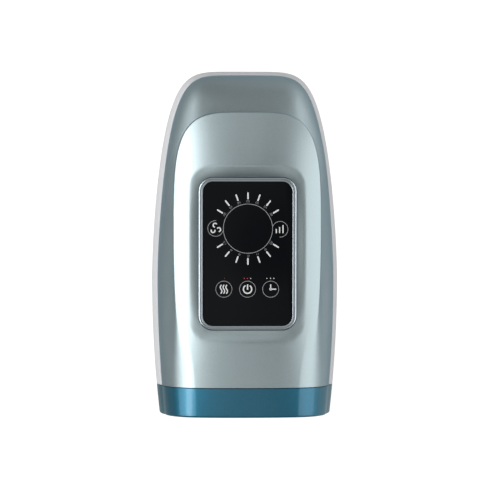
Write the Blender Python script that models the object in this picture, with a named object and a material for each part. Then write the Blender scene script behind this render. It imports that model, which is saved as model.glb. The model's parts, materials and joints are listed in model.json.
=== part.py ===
"""Hand massager: a moulded tunnel that takes one hand and presses it with air cells.

Metres, +Z up. The massager lies on its feet at z = 0, its hand opening faces -Y and its hood is at +Y.
"""

import math

import bmesh
import bpy
import numpy as np
from mathutils import Matrix

# Overall outline, seen from above
BODY_WIDTH = 0.125
BODY_LENGTH = 0.230
FRONT_END_Y = -BODY_LENGTH / 2
BACK_END_Y = BODY_LENGTH / 2
WIDEST_DISTANCE = 0.092
WIDEST_Y = FRONT_END_Y + WIDEST_DISTANCE
FRONT_NARROWING = 0.0104
FRONT_WIDTH = BODY_WIDTH - FRONT_NARROWING
OUTLINE_SIDE_POWER = 5.8
OUTLINE_BACK_POWER = 1.5

# Heights of the two housings
FOOT_HEIGHT = 0.0025
BELLY_HEIGHT = 0.033
PARTING_HEIGHT = 0.053
BELLY_TUCK = 0.012
BELLY_POWER = 2.2
PARTING_TUCK = 0.0038
CROWN_HEIGHT = 0.102
CROWN_SETBACK = 0.085
CROWN_Y = BACK_END_Y - CROWN_SETBACK
FRONT_FALL = 0.0155
BACK_FALL = 0.0095

# Raised saddle
SADDLE_SIDE_REACH = 0.0137
SADDLE_WIDTH = BODY_WIDTH - 2 * SADDLE_SIDE_REACH
HOOD_LENGTH = 0.030
SADDLE_BACK_Y = BACK_END_Y - HOOD_LENGTH
SADDLE_FRONT_NARROWING = 0.005
SADDLE_SIDE_POWER = 4.2
SADDLE_BACK_POWER = 4.0
SADDLE_DROP = 0.013
SADDLE_FRONT_DROP = 0.0065
SADDLE_DOME_POWER = 3.6
TAPER_POWER = 1.5
STEP_SIDE_HEIGHT = 0.0025
STEP_BACK_HEIGHT = 0.0045
STEP_LEAST_HEIGHT = 0.00015
STEP_DRAFT = 0.0006
STEP_FADE_START = 0.023
STEP_FADE_FRONT_Y = FRONT_END_Y + STEP_FADE_START
STEP_FADE_LENGTH = 0.082
FAN_SETBACK = 0.095
FAN_Y = BACK_END_Y - FAN_SETBACK
FLANK_FOOT_SHARES = (0.06, 0.50)
FLANK_HEAD_SHARE = 0.35
FLANK_SIDE_SLOPE = math.radians(66)
FLANK_BACK_SLOPE = math.radians(38)

# Walls and fits
WALL = 0.0025
GAP = 0.0003
OVERRUN = 0.004
SMALL_BEVEL = 0.0006
RIM_DEPTH = 0.0195
RIM_FACE = 0.0027
RIM_CHAMFER = 0.0010

# Touch panel and its recess
PANEL_SIDE_ROOM = 0.0335
PANEL_WIDTH = BODY_WIDTH - 2 * PANEL_SIDE_ROOM
PANEL_FRONT_ROOM = 0.0605
PANEL_BACK_ROOM = 0.076
PANEL_LENGTH = BODY_LENGTH - PANEL_FRONT_ROOM - PANEL_BACK_ROOM
PANEL_Y = BACK_END_Y - PANEL_BACK_ROOM - PANEL_LENGTH / 2
PANEL_SINK = 0.0080
PANEL_HEIGHT = CROWN_HEIGHT - PANEL_SINK
PANEL_RISE = 0.0040
PANEL_THICKNESS = 0.0032
PANEL_CORNER = 0.0065
BEZEL_WIDTH = 0.0026
BEZEL_PROUD = 0.0006
RECESS_SIDE_FLARE = 0.0158
RECESS_BACK_FLARE = 0.010
RECESS_FRONT_FLARE = 0.0122
RECESS_FLARE_HEIGHT = 0.006
PANEL_BED = 0.0023
PANEL_LEDGE = 0.004
BED_MARGIN = 0.010
BED_BACK_MARGIN = 0.014
BOARD_THICKNESS = 0.0016
BOARD_SCREW_RADIUS = 0.0011
BOARD_SCREW_HEAD_RADIUS = 0.0021
BOARD_SCREW_HEAD = 0.0014
BOARD_SCREW_INSET = 0.006
SCREW_CLEARANCE = 0.0004

# Tunnel that takes the hand
TUNNEL_SIDE_ROOM = 0.0115
TUNNEL_WIDTH = BODY_WIDTH - 2 * TUNNEL_SIDE_ROOM
TUNNEL_LOW = 0.010
TUNNEL_ROOF_DEPTH = 0.026
TUNNEL_HIGH = CROWN_HEIGHT - TUNNEL_ROOF_DEPTH
TUNNEL_WALL = 0.002
TUNNEL_POWER = 4.2
REAR_BAY = 0.058
TUNNEL_END_Y = BACK_END_Y - REAR_BAY
TUNNEL_END_ROUND = 0.012
TUNNEL_END_STEPS = 3
BAY_SIDE_ROOM = 0.0255
SHELF_WIDTH = BODY_WIDTH - 2 * BAY_SIDE_ROOM
SHELF_THICKNESS = 0.0022
SHELF_SETBACK = 0.014
SHELF_BACK_Y = BACK_END_Y - SHELF_SETBACK
RIB_WIDTH = 0.003
RIB_SPAN = 0.080

# Pressing pads and air cells
PAD_SIDE_ROOM = 0.018
PAD_WIDTH = TUNNEL_WIDTH - 2 * PAD_SIDE_ROOM
PAD_THICKNESS = 0.0035
PAD_CORNER = 0.010
PAD_FRONT_ROOM = 0.031
PAD_BACK_ROOM = 0.013
PAD_SPACING = 0.004
PAD_FRONT_Y = FRONT_END_Y + PAD_FRONT_ROOM
PAD_BACK_Y = TUNNEL_END_Y - PAD_BACK_ROOM
PAD_LENGTH = (PAD_BACK_Y - PAD_FRONT_Y - PAD_SPACING) / 2
PALM_PAD_Y = PAD_FRONT_Y + PAD_LENGTH / 2
FINGER_PAD_Y = PAD_BACK_Y - PAD_LENGTH / 2
CELL_EDGE_SHARE = 0.25
CELL_HEIGHT = 0.0075
CELL_INSET = 0.003
LOWER_CELL_HEIGHT = 0.003
HEATER_THICKNESS = 0.0006
LOWER_PAD_MARGIN = 0.001
LOWER_PAD_LENGTH = PAD_BACK_Y - PAD_FRONT_Y - 2 * LOWER_PAD_MARGIN
NODE_RADIUS = 0.005
NODE_RISE = 0.002
NODE_DOME_SHARES = ((0.70, 0.80), (0.25, 1.0))
NODE_PITCH = 0.018

# Pump, laid across the body
PUMP_SETBACK = 0.038
PUMP_Y = BACK_END_Y - PUMP_SETBACK
PUMP_HEIGHT = 0.0205
PUMP_HEAD_SIDE_ROOM = 0.071
PUMP_HEAD_LEFT_X = BODY_WIDTH / 2 - PUMP_HEAD_SIDE_ROOM
PUMP_HEAD_LENGTH = 0.024
PUMP_HEAD_SIZE = 0.024
PUMP_CHAMBER_RADIUS = 0.0095
PUMP_CHAMBER_DEPTH = 0.012
PUMP_CAP_THICKNESS = 0.004
PUMP_NOZZLE_RADIUS = 0.002
PUMP_NOZZLE_DROP = 0.008
MOTOR_RADIUS = 0.012
MOTOR_SIDE_ROOM = 0.028
MOTOR_LENGTH = BODY_WIDTH / 2 - MOTOR_SIDE_ROOM + PUMP_HEAD_LEFT_X
MOTOR_BOSS_RADIUS = 0.004
MOTOR_BOSS_LENGTH = 0.002
SHAFT_RADIUS = 0.001
CRANK_RADIUS = 0.0065
CRANK_THICKNESS = 0.004
CRANK_PIN_RADIUS = 0.0012
CRANK_PIN_OFFSET = 0.003
CRANK_PIN_LENGTH = 0.003
CRADLE_LENGTH = 0.026
CRADLE_RISE = 0.006

FLOOR_HEIGHT = FOOT_HEIGHT + WALL

# Valves
VALVE_SIDE_ROOM = 0.036
VALVE_X = BODY_WIDTH / 2 - VALVE_SIDE_ROOM
VALVE_BLOCK_WIDTH = 0.018
VALVE_BLOCK_LENGTH = 0.026
VALVE_BLOCK_HEIGHT = 0.010
VALVE_PITCH = 0.009
COIL_WIDTH = 0.010
COIL_LENGTH = 0.0075
COIL_HEIGHT = 0.014
PLUNGER_RADIUS = 0.0013
PLUNGER_BORE_CLEARANCE = 0.0003
PLUNGER_HEAD_RADIUS = 0.0028
PLUNGER_HEAD_THICKNESS = 0.0012
PLUNGER_DEPTH = 0.008
SPRING_HEIGHT = 0.0036
SPRING_WIRE = 0.0003
SPRING_TURNS = 4
HOSE_RADIUS = 0.0018
HOSE_PITCH = 0.0055
HOSE_RISE = 0.019

# Boards, battery and socket
MAIN_BOARD_WIDTH = BODY_WIDTH - 2 * BAY_SIDE_ROOM
MAIN_BOARD_FRONT_ROOM = 0.00105
MAIN_BOARD_BACK_ROOM = 0.01245
MAIN_BOARD_LENGTH = REAR_BAY - MAIN_BOARD_FRONT_ROOM - MAIN_BOARD_BACK_ROOM
MAIN_BOARD_Y = TUNNEL_END_Y + MAIN_BOARD_FRONT_ROOM + MAIN_BOARD_LENGTH / 2
CHIP_HEIGHT = 0.0012
PLUNGER_RISE = 4 * GAP + SPRING_HEIGHT + PLUNGER_HEAD_THICKNESS
PLUNGER_TOP = FLOOR_HEIGHT + VALVE_BLOCK_HEIGHT + COIL_HEIGHT + PLUNGER_RISE
MAIN_BOARD_CLEARANCE = 0.0045
MAIN_BOARD_HEIGHT = PLUNGER_TOP + MAIN_BOARD_CLEARANCE
SHELF_CLEARANCE = 0.0012
SHELF_HEIGHT = MAIN_BOARD_HEIGHT + BOARD_THICKNESS + CHIP_HEIGHT + SHELF_CLEARANCE
CONTROL_CHIP_SIZE = 0.0194
BOARD_PART_SHARES = ((-0.5, 0.3), (0.0, 0.6), (0.5, 0.35))
CHIP_SIZE = 0.009
POST_RADIUS = 0.003
BATTERY_RADIUS_SHARE = 0.0902
BATTERY_RADIUS = BATTERY_RADIUS_SHARE * CROWN_HEIGHT
BATTERY_CAP_RADIUS = 0.003
BATTERY_END_ROOM = 0.0045
BATTERY_LENGTH = SHELF_WIDTH - 2 * BATTERY_END_ROOM
BATTERY_SPACING = 0.0011
BATTERY_PITCH = 2 * BATTERY_RADIUS + BATTERY_SPACING
HOLDER_WALL = 0.0018
HOLDER_FRONT_ROOM = 0.00145
HOLDER_REACH = BATTERY_PITCH / 2 + BATTERY_RADIUS + GAP + HOLDER_WALL
BATTERY_Y = TUNNEL_END_Y + HOLDER_FRONT_ROOM + HOLDER_REACH
HOLDER_RISE = 0.009
SOCKET_WIDTH = 0.010
SOCKET_HEIGHT = 0.0042
SOCKET_DEPTH = 0.009
SOCKET_Z = 0.020
SOCKET_WALL = 0.0012
SOCKET_MOUTH_DEPTH = 0.006
SOCKET_SETBACK = 0.0003

# Feet and housing screws
FOOT_RADIUS = 0.006
FOOT_SIDE_ROOM = 0.0305
FOOT_X = BODY_WIDTH / 2 - FOOT_SIDE_ROOM
FOOT_FRONT_ROOM = 0.027
FOOT_FRONT_Y = FRONT_END_Y + FOOT_FRONT_ROOM
FOOT_BACK_ROOM = 0.041
FOOT_BACK_Y = BACK_END_Y - FOOT_BACK_ROOM
FOOT_POCKET = 0.001
SCREW_RADIUS = 0.0015
SCREW_HEAD_RADIUS = 0.003
SCREW_LENGTH = 0.0065
SCREW_BOSS_RADIUS = 0.0042
SCREW_SIDE_ROOM = 0.0385
SCREW_X = BODY_WIDTH / 2 - SCREW_SIDE_ROOM
SCREW_FRONT_ROOM = 0.045
SCREW_FRONT_Y = FRONT_END_Y + SCREW_FRONT_ROOM
SCREW_BACK_ROOM = 0.027
SCREW_BACK_Y = TUNNEL_END_Y - SCREW_BACK_ROOM

# How finely the curves are cut
OUTLINE_COLUMNS = 30
FLANK_ROWS = 7
SADDLE_ROWS = 7
CAVITY_COLUMNS = 18
SHELL_LEVELS = 8
ROW_SPREAD_POWER = 1.5
RING_SIDES = 40
ROUND_SIDES = 16
SHARP_ANGLE = math.radians(32)
RING_CORNER_STEPS = 5
SMALL_SIDES = 10
DENSE = 400


def clear_scene():
    for old in list(bpy.data.objects):
        bpy.data.objects.remove(old, do_unlink=True)


def material(name, colour, roughness, metallic=0.0):
    made = bpy.data.materials.new(name)
    made.use_nodes = True
    shader = made.node_tree.nodes["Principled BSDF"]
    shader.inputs["Base Color"].default_value = (*colour, 1.0)
    shader.inputs["Roughness"].default_value = roughness
    shader.inputs["Metallic"].default_value = metallic
    return made


def finish_mesh(name, work, finish):
    """A bmesh made into a named object with outward faces and smooth round stretches."""
    bmesh.ops.remove_doubles(work, verts=work.verts, dist=GAP / DENSE)
    bmesh.ops.dissolve_degenerate(work, edges=work.edges, dist=GAP / DENSE)
    bmesh.ops.recalc_face_normals(work, faces=work.faces)
    data = bpy.data.meshes.new(name)
    work.to_mesh(data)
    work.free()
    data.shade_smooth()
    data.set_sharp_from_angle(angle=SHARP_ANGLE)
    data.materials.append(finish)
    made = bpy.data.objects.new(name, data)
    bpy.context.collection.objects.link(made)
    return made


def evaluated(target):
    """Bakes an object's modifiers into its own mesh."""
    depsgraph = bpy.context.evaluated_depsgraph_get()
    depsgraph.update()
    baked = bpy.data.meshes.new_from_object(target.evaluated_get(depsgraph))
    target.modifiers.clear()
    target.data = baked
    baked.shade_smooth()
    baked.set_sharp_from_angle(angle=SHARP_ANGLE)
    return target


def combine(target, others, operation):
    """Joins or cuts a target with other objects, which are then removed."""
    for other in others:
        step = target.modifiers.new(operation.lower(), "BOOLEAN")
        step.operation = operation
        step.solver = "EXACT"
        step.object = other
    evaluated(target)
    for other in others:
        bpy.data.objects.remove(other, do_unlink=True)
    return target


def cut(target, *cutters):
    return combine(target, cutters, "DIFFERENCE")


def fuse(target, *others):
    return combine(target, others, "UNION")


def placed(target, matrix):
    target.data.transform(matrix)
    return target


def loft(name, rings, finish):
    """A closed solid through rings of equal point counts, with a flat face at each end."""
    work = bmesh.new()
    loops = [[work.verts.new(point) for point in ring] for ring in rings]
    count = len(loops[0])
    for low, high in zip(loops, loops[1:]):
        for i in range(count):
            after = (i + 1) % count
            work.faces.new((low[i], low[after], high[after], high[i]))
    work.faces.new(list(reversed(loops[0])))
    work.faces.new(loops[-1])
    return finish_mesh(name, work, finish)


def box(name, low, high, finish, bevel=0.0):
    """A box between two corners, with its edges bevelled."""
    low = np.array(low)
    high = np.array(high)
    work = bmesh.new()
    bmesh.ops.create_cube(work, size=1.0)
    bmesh.ops.scale(work, vec=high - low, verts=work.verts)
    bmesh.ops.translate(work, vec=(low + high) / 2, verts=work.verts)
    if bevel:
        bmesh.ops.bevel(work, geom=list(work.edges), offset=bevel, segments=1, affect="EDGES")
    return finish_mesh(name, work, finish)


def turned(name, steps, centre, axis, finish, sides=ROUND_SIDES):
    """A solid turned about an axis from (radius, distance along the axis) steps."""
    angles = np.linspace(0, 2 * math.pi, sides, endpoint=False)
    rings = []
    for radius, along in steps:
        ring = np.stack([np.cos(angles) * radius, np.sin(angles) * radius, np.full(sides, along)], axis=1)
        rings.append(ring)
    made = loft(name, rings, finish)
    quarter = math.pi / 2
    turn = {"X": Matrix.Rotation(quarter, 4, "Y"), "Y": Matrix.Rotation(-quarter, 4, "X"), "Z": Matrix()}
    return placed(made, Matrix.Translation(centre) @ turn[axis])


def rod(name, radius, low, high, centre, axis, finish, sides=ROUND_SIDES):
    return turned(name, [(radius, low), (radius, high)], centre, axis, finish, sides)


def rounded_ring(width, length, corner, height, centre_y=0.0, steps=RING_CORNER_STEPS):
    """A rounded rectangle's points at one height, centred on x = 0."""
    points = []
    quarter = math.pi / 2
    corners = ((1, 1, 0), (-1, 1, 1), (-1, -1, 2), (1, -1, 3))
    for sign_x, sign_y, turns in corners:
        for k in range(steps + 1):
            angle = quarter * (turns + k / steps)
            x = sign_x * (width / 2 - corner) + corner * math.cos(angle)
            y = sign_y * (length / 2 - corner) + corner * math.sin(angle)
            points.append((x, centre_y + y, height))
    return points


def slab(name, width, length, corner, low, high, finish, centre_y=0.0, ease=0.0):
    """A rounded rectangular plate, its upper and lower edges eased."""
    if not ease:
        levels = [(0.0, low), (0.0, high)]
    else:
        levels = [(ease, low), (0.0, low + ease), (0.0, high - ease), (ease, high)]
    rings = []
    for inset, height in levels:
        ring = rounded_ring(width - 2 * inset, length - 2 * inset, corner - inset, height, centre_y)
        rings.append(ring)
    return loft(name, rings, finish)


# The body's form, as functions of the named sizes


def smooth_step(value):
    clipped = np.clip(value, 0.0, 1.0)
    return clipped * clipped * (3 - 2 * clipped)


def front_taper(y):
    """The share of the full width that is left at y, ahead of the widest place."""
    lost = 1 - FRONT_WIDTH / BODY_WIDTH
    reach = BODY_LENGTH / 2 + WIDEST_Y
    return 1 - lost * (np.clip(WIDEST_Y - y, 0, None) / reach) ** 2


def outline(inset, front_y, count):
    """Half of the outline from the front corner to the middle of the back, spread by length and turning."""
    half = BODY_WIDTH / 2 - inset
    reach = BODY_LENGTH / 2 - WIDEST_Y - inset
    front = np.linspace(front_y, WIDEST_Y, DENSE, endpoint=False)
    side = np.stack([half * front_taper(front), front], axis=1)
    angle = np.linspace(0, math.pi / 2, DENSE)
    across = half * np.cos(angle) ** (2 / OUTLINE_SIDE_POWER)
    along = WIDEST_Y + reach * np.sin(angle) ** (2 / OUTLINE_BACK_POWER)
    across[-1] = 0.0
    points = np.concatenate([side, np.stack([across, along], axis=1)])
    return spread(points, count)


def spread(points, count):
    """Points of a dense curve taken so that each stretch holds a like share of its length and its turning."""
    steps = np.diff(points, axis=0)
    length = np.hypot(steps[:, 0], steps[:, 1])
    heading = np.unwrap(np.arctan2(steps[:, 1], steps[:, 0]))
    turning = np.abs(np.diff(heading, prepend=heading[0]))
    measure = length / length.sum() + turning / turning.sum()
    travelled = np.concatenate([[0.0], np.cumsum(measure)])
    wanted = np.linspace(0, travelled[-1], count)
    return np.stack([np.interp(wanted, travelled, points[:, k]) for k in range(2)], axis=1)


def saddle_half_width(y):
    """Half the saddle's width ahead of its rounded back."""
    ahead = np.clip(-y, 0, None) / (BODY_LENGTH / 2)
    return SADDLE_WIDTH / 2 - SADDLE_FRONT_NARROWING * ahead**TAPER_POWER


def saddle_edge(rim_points):
    """The saddle's edge by each outline point: straight across in front, along rays from the fan point behind."""
    angle = np.linspace(0, math.pi / 2, DENSE)
    across = SADDLE_WIDTH / 2 * np.cos(angle) ** (2 / SADDLE_SIDE_POWER)
    along = SADDLE_BACK_Y * np.sin(angle) ** (2 / SADDLE_BACK_POWER)
    across[-1] = 0.0
    bearing = np.arctan2(along - FAN_Y, across)
    x, y = rim_points[:, 0], rim_points[:, 1]
    ray = np.arctan2(y - FAN_Y, x)
    back_x = np.interp(ray, bearing, across)
    back_y = np.interp(ray, bearing, along)
    behind = y > FAN_Y
    return np.stack([np.where(behind, back_x, saddle_half_width(y)), np.where(behind, back_y, y)], axis=1)


def crown(y):
    """Height of the saddle's middle line."""
    ahead = np.clip(CROWN_Y - y, 0, None) / (CROWN_Y + BODY_LENGTH / 2)
    after = np.clip(y - CROWN_Y, 0, None) / (SADDLE_BACK_Y - CROWN_Y)
    return CROWN_HEIGHT - FRONT_FALL * ahead**2 - BACK_FALL * after**2


def saddle_height(x, y):
    """Height of the saddle: its middle line less a dome's drop towards each side."""
    ahead = np.clip(-y, 0, None) / (BODY_LENGTH / 2)
    drop = SADDLE_DROP - (SADDLE_DROP - SADDLE_FRONT_DROP) * ahead**TAPER_POWER
    return crown(y) - drop * (np.abs(x) / saddle_half_width(y)) ** SADDLE_DOME_POWER


def step_height(y):
    """The step round the saddle, which fades out towards the front."""
    sides = smooth_step((y - STEP_FADE_FRONT_Y) / STEP_FADE_LENGTH)
    back = smooth_step((y - CROWN_Y) / (SADDLE_BACK_Y - CROWN_Y))
    return STEP_LEAST_HEIGHT + STEP_SIDE_HEIGHT * sides + (STEP_BACK_HEIGHT - STEP_SIDE_HEIGHT) * back


def belly_inset(z):
    """How far the lower shell is drawn in from its widest outline at a height."""
    below = np.clip(BELLY_HEIGHT - z, 0, None) / (BELLY_HEIGHT - FOOT_HEIGHT)
    above = np.clip(z - BELLY_HEIGHT, 0, None) / (PARTING_HEIGHT - BELLY_HEIGHT)
    rounded = 1 - (1 - below**BELLY_POWER) ** (1 / BELLY_POWER)
    return BELLY_TUCK * rounded + PARTING_TUCK * above**2


def upper_rows(wall, front_y, columns, flank_rows, saddle_rows):
    """Rows of the upper surface, from the parting line over the flank and step to the middle line."""
    rim = outline(PARTING_TUCK + wall, front_y, columns)
    edge = saddle_edge(rim)
    outward = edge - np.column_stack([np.zeros(columns), np.minimum(edge[:, 1], FAN_Y)])
    edge = edge - outward / np.linalg.norm(outward, axis=1, keepdims=True) * wall
    edge[-1, 0] = 0.0
    foot = saddle_height(edge[:, 0], edge[:, 1]) - wall - step_height(edge[:, 1])
    reach = edge - rim
    climb = foot - PARTING_HEIGHT
    in_low, up_low = FLANK_FOOT_SHARES
    width = np.linalg.norm(reach, axis=1)
    turn = smooth_step(np.arctan2(np.clip(rim[:, 1] - FAN_Y, 0, None), rim[:, 0]) / (math.pi / 2))
    slope = FLANK_SIDE_SLOPE + (FLANK_BACK_SLOPE - FLANK_SIDE_SLOPE) * turn
    handle = FLANK_HEAD_SHARE * np.hypot(width, climb)
    first = np.column_stack([rim + reach * in_low, PARTING_HEIGHT + climb * up_low])
    out = reach * (handle * np.cos(slope) / width)[:, None]
    second = np.column_stack([edge - out, foot - handle * np.sin(slope)])
    start = np.column_stack([rim, np.full(columns, PARTING_HEIGHT)])
    end = np.column_stack([edge, foot])
    rows = []
    for t in np.linspace(0, 1, flank_rows):
        s = 1 - t
        rows.append(s**3 * start + 3 * s * s * t * first + 3 * s * t * t * second + t**3 * end)
    middle = np.column_stack([np.zeros(columns), np.minimum(edge[:, 1], FAN_Y)])
    span = np.linalg.norm(middle - edge, axis=1, keepdims=True)
    for t in np.linspace(0, 1, saddle_rows) ** ROW_SPREAD_POWER:
        share = STEP_DRAFT / span + (1 - STEP_DRAFT / span) * t
        plan = edge + (middle - edge) * share
        rows.append(np.column_stack([plan, saddle_height(plan[:, 0], plan[:, 1]) - wall]))
    return rows


def shell_levels(low, high, count):
    """Heights from low to high, closer together at the rounded bottom edge."""
    return low + (high - low) * np.linspace(0, 1, count) ** ROW_SPREAD_POWER


def lower_rows(wall, front_y, columns, levels):
    """Rows of the lower shell's side at a list of heights, bottom first."""
    rows = []
    for z in levels:
        plan = outline(float(belly_inset(z)) + wall, front_y, columns)
        rows.append(np.column_stack([plan, np.full(columns, z)]))
    return rows


def mirrored_solid(name, rows, finish, closed_middle):
    """A closed solid from half rows: sides, a flat front and bottom and, unless it meets itself, a flat top."""
    work = bmesh.new()
    grid = [[work.verts.new(point) for point in row] for row in rows]
    for low, high in zip(grid, grid[1:]):
        for i in range(len(low) - 1):
            work.faces.new((low[i], low[i + 1], high[i + 1], high[i]))
    front_y = rows[0][0][1]
    bottom = work.verts.new((0.0, front_y, rows[0][0][2]))
    work.faces.new([bottom] + grid[0][::-1])
    column = [row[0] for row in grid]
    if closed_middle:
        work.faces.new([bottom] + column)
    else:
        top = work.verts.new((0.0, front_y, rows[-1][0][2]))
        work.faces.new([bottom] + column + [top])
        work.faces.new([top] + grid[-1])
    geometry = list(work.verts) + list(work.edges) + list(work.faces)
    bmesh.ops.mirror(work, geom=geometry, axis="X", merge_dist=GAP / DENSE)
    return finish_mesh(name, work, finish)


def band_ring(y, wall):
    """The whole outer section at y, as a closed ring, drawn in by a wall."""
    low_z = FOOT_HEIGHT + wall
    heights = shell_levels(low_z, PARTING_HEIGHT, SHELL_LEVELS)
    taper = front_taper(y)
    half = [(BODY_WIDTH / 2 - float(belly_inset(z)) - wall) * taper for z in heights]
    side = np.column_stack([half, np.full(SHELL_LEVELS, y), heights])
    upper = np.array([row[0] for row in upper_rows(wall, y, CAVITY_COLUMNS, FLANK_ROWS, SADDLE_ROWS)])
    right = np.concatenate([side, upper[1:]])
    left = right[:-1][::-1] * (-1, 1, 1)
    return np.concatenate([right, left])


def tunnel_ring(y, wall, shrink=1.0):
    """The hand tunnel's section at y: a squarish superellipse."""
    half_width = (TUNNEL_WIDTH / 2 - wall) * shrink
    half_height = ((TUNNEL_HIGH - TUNNEL_LOW) / 2 - wall) * shrink
    angles = np.linspace(0, 2 * math.pi, RING_SIDES, endpoint=False)
    bend = 2 / TUNNEL_POWER
    x = half_width * np.sign(np.cos(angles)) * np.abs(np.cos(angles)) ** bend
    z = half_height * np.sign(np.sin(angles)) * np.abs(np.sin(angles)) ** bend
    return np.column_stack([x, np.full(RING_SIDES, y), (TUNNEL_LOW + TUNNEL_HIGH) / 2 + z])


def tunnel_solid(name, front_y, wall, finish):
    """The tunnel's form with its rounded closed end, whole or drawn in by its wall."""
    end_y = TUNNEL_END_Y - wall
    straight = end_y - TUNNEL_END_ROUND
    rings = [tunnel_ring(front_y, wall), tunnel_ring(straight, wall)]
    for step in range(1, TUNNEL_END_STEPS + 1):
        angle = step / TUNNEL_END_STEPS * math.pi / 2
        y = straight + TUNNEL_END_ROUND * math.sin(angle)
        shrink = 1 - TUNNEL_END_ROUND * (1 - math.cos(angle)) / (TUNNEL_WIDTH / 2)
        rings.append(tunnel_ring(y, wall, shrink))
    return loft(name, rings, finish)


def panel_frame():
    """The matrix of the touch panel's tilted plane, whose z = 0 is the glass."""
    tilt = math.atan2(PANEL_RISE, PANEL_LENGTH)
    return Matrix.Translation((0, PANEL_Y, PANEL_HEIGHT)) @ Matrix.Rotation(tilt, 4, "X")


SHELL_FRONT_Y = FRONT_END_Y + RIM_DEPTH + GAP
BEZEL_OUTER_WIDTH = PANEL_WIDTH + 2 * (GAP + BEZEL_WIDTH)
BEZEL_OUTER_LENGTH = PANEL_LENGTH + 2 * (GAP + BEZEL_WIDTH)
BEZEL_OUTER_CORNER = PANEL_CORNER + GAP + BEZEL_WIDTH
BED_TOP = -PANEL_THICKNESS - GAP
BED_BOTTOM = BED_TOP - PANEL_BED


def panel_screw_places():
    """Places of the control board's screws in the panel's own plane."""
    x = PANEL_WIDTH / 2 - BOARD_SCREW_INSET / 2
    y = PANEL_LENGTH / 2 - BOARD_SCREW_INSET / 2
    return [(side * x, end * y) for side in (-1, 1) for end in (-1, 1)]


def recess_cutter(finish):
    """The scoop round the panel: straight down to the bezel's bed, flaring out above the glass."""
    width = BEZEL_OUTER_WIDTH + 2 * GAP
    length = BEZEL_OUTER_LENGTH + 2 * GAP
    corner = BEZEL_OUTER_CORNER + GAP
    wide = width + 2 * RECESS_SIDE_FLARE
    long = length + RECESS_BACK_FLARE + RECESS_FRONT_FLARE
    shift = (RECESS_BACK_FLARE - RECESS_FRONT_FLARE) / 2
    rings = [
        rounded_ring(width, length, corner, BED_TOP),
        rounded_ring(width, length, corner, 0.0),
        rounded_ring(wide, long, corner + RECESS_BACK_FLARE, RECESS_FLARE_HEIGHT, shift),
        rounded_ring(wide, long, corner + RECESS_BACK_FLARE, RECESS_FLARE_HEIGHT + OVERRUN, shift),
    ]
    return placed(loft("recess", rings, finish), panel_frame())


def upper_housing(finish):
    """The top shell with its flanks, hood, saddle and panel recess, on a bed that carries the panel."""
    outer = mirrored_solid(
        "upper_housing",
        upper_rows(0.0, SHELL_FRONT_Y, OUTLINE_COLUMNS, FLANK_ROWS, SADDLE_ROWS),
        finish,
        closed_middle=True,
    )
    inner_rows = upper_rows(WALL, SHELL_FRONT_Y - OVERRUN, CAVITY_COLUMNS, FLANK_ROWS, SADDLE_ROWS)
    skirt = inner_rows[0] - np.array((0.0, 0.0, OVERRUN))
    cavity = mirrored_solid("cavity", [skirt] + inner_rows, finish, closed_middle=True)
    bed_length = BEZEL_OUTER_LENGTH + BED_MARGIN + BED_BACK_MARGIN
    bed = slab(
        "bed",
        BEZEL_OUTER_WIDTH + 2 * BED_MARGIN,
        bed_length,
        BEZEL_OUTER_CORNER,
        BED_BOTTOM,
        CROWN_HEIGHT - PANEL_HEIGHT + OVERRUN,
        finish,
        centre_y=(BED_BACK_MARGIN - BED_MARGIN) / 2,
    )
    cut(cavity, placed(bed, panel_frame()))
    window = slab(
        "window",
        PANEL_WIDTH - 2 * PANEL_LEDGE,
        PANEL_LENGTH - 2 * PANEL_LEDGE,
        PANEL_CORNER,
        BED_BOTTOM - OVERRUN,
        BED_TOP + OVERRUN,
        finish,
    )
    holes = []
    for x, y in panel_screw_places():
        hole = rod(
            "hole", BOARD_SCREW_RADIUS + GAP, BED_BOTTOM - OVERRUN, BED_TOP - GAP, (x, y, 0), "Z", finish, SMALL_SIDES
        )
        holes.append(placed(hole, panel_frame()))
    return cut(outer, cavity, recess_cutter(finish), placed(window, panel_frame()), *holes)


def panel_bezel(finish):
    """The silver frame round the glass."""
    frame = slab(
        "panel_bezel",
        BEZEL_OUTER_WIDTH,
        BEZEL_OUTER_LENGTH,
        BEZEL_OUTER_CORNER,
        -PANEL_THICKNESS,
        BEZEL_PROUD,
        finish,
        ease=SMALL_BEVEL,
    )
    opening = slab(
        "opening",
        PANEL_WIDTH + 2 * GAP,
        PANEL_LENGTH + 2 * GAP,
        PANEL_CORNER + GAP,
        -PANEL_THICKNESS - OVERRUN,
        BEZEL_PROUD + OVERRUN,
        finish,
    )
    return placed(cut(frame, opening), panel_frame())


def touch_panel(finish):
    """The flat glass whose touch keys don't travel."""
    glass = slab(
        "touch_panel", PANEL_WIDTH, PANEL_LENGTH, PANEL_CORNER, -PANEL_THICKNESS, 0.0, finish, ease=SMALL_BEVEL
    )
    return placed(glass, panel_frame())


def control_board(finish):
    """The key board under the panel's bed, with its processor and a row of lamps."""
    top = BED_BOTTOM - GAP
    board = slab(
        "control_board",
        PANEL_WIDTH + BOARD_SCREW_INSET / 2,
        PANEL_LENGTH + BOARD_SCREW_INSET / 2,
        PANEL_CORNER,
        top - BOARD_THICKNESS,
        top,
        finish,
    )
    under = top - BOARD_THICKNESS
    half = CONTROL_CHIP_SIZE / 2
    chip = box(
        "chip",
        (-half, -half, under - CHIP_HEIGHT),
        (half, half, under + CHIP_HEIGHT / 2),
        finish,
    )
    fuse(board, chip)
    holes = []
    for x, y in panel_screw_places():
        radius = BOARD_SCREW_RADIUS + GAP
        holes.append(rod("hole", radius, under - OVERRUN, top + OVERRUN, (x, y, 0), "Z", finish, SMALL_SIDES))
    return placed(cut(board, *holes), panel_frame())


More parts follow.
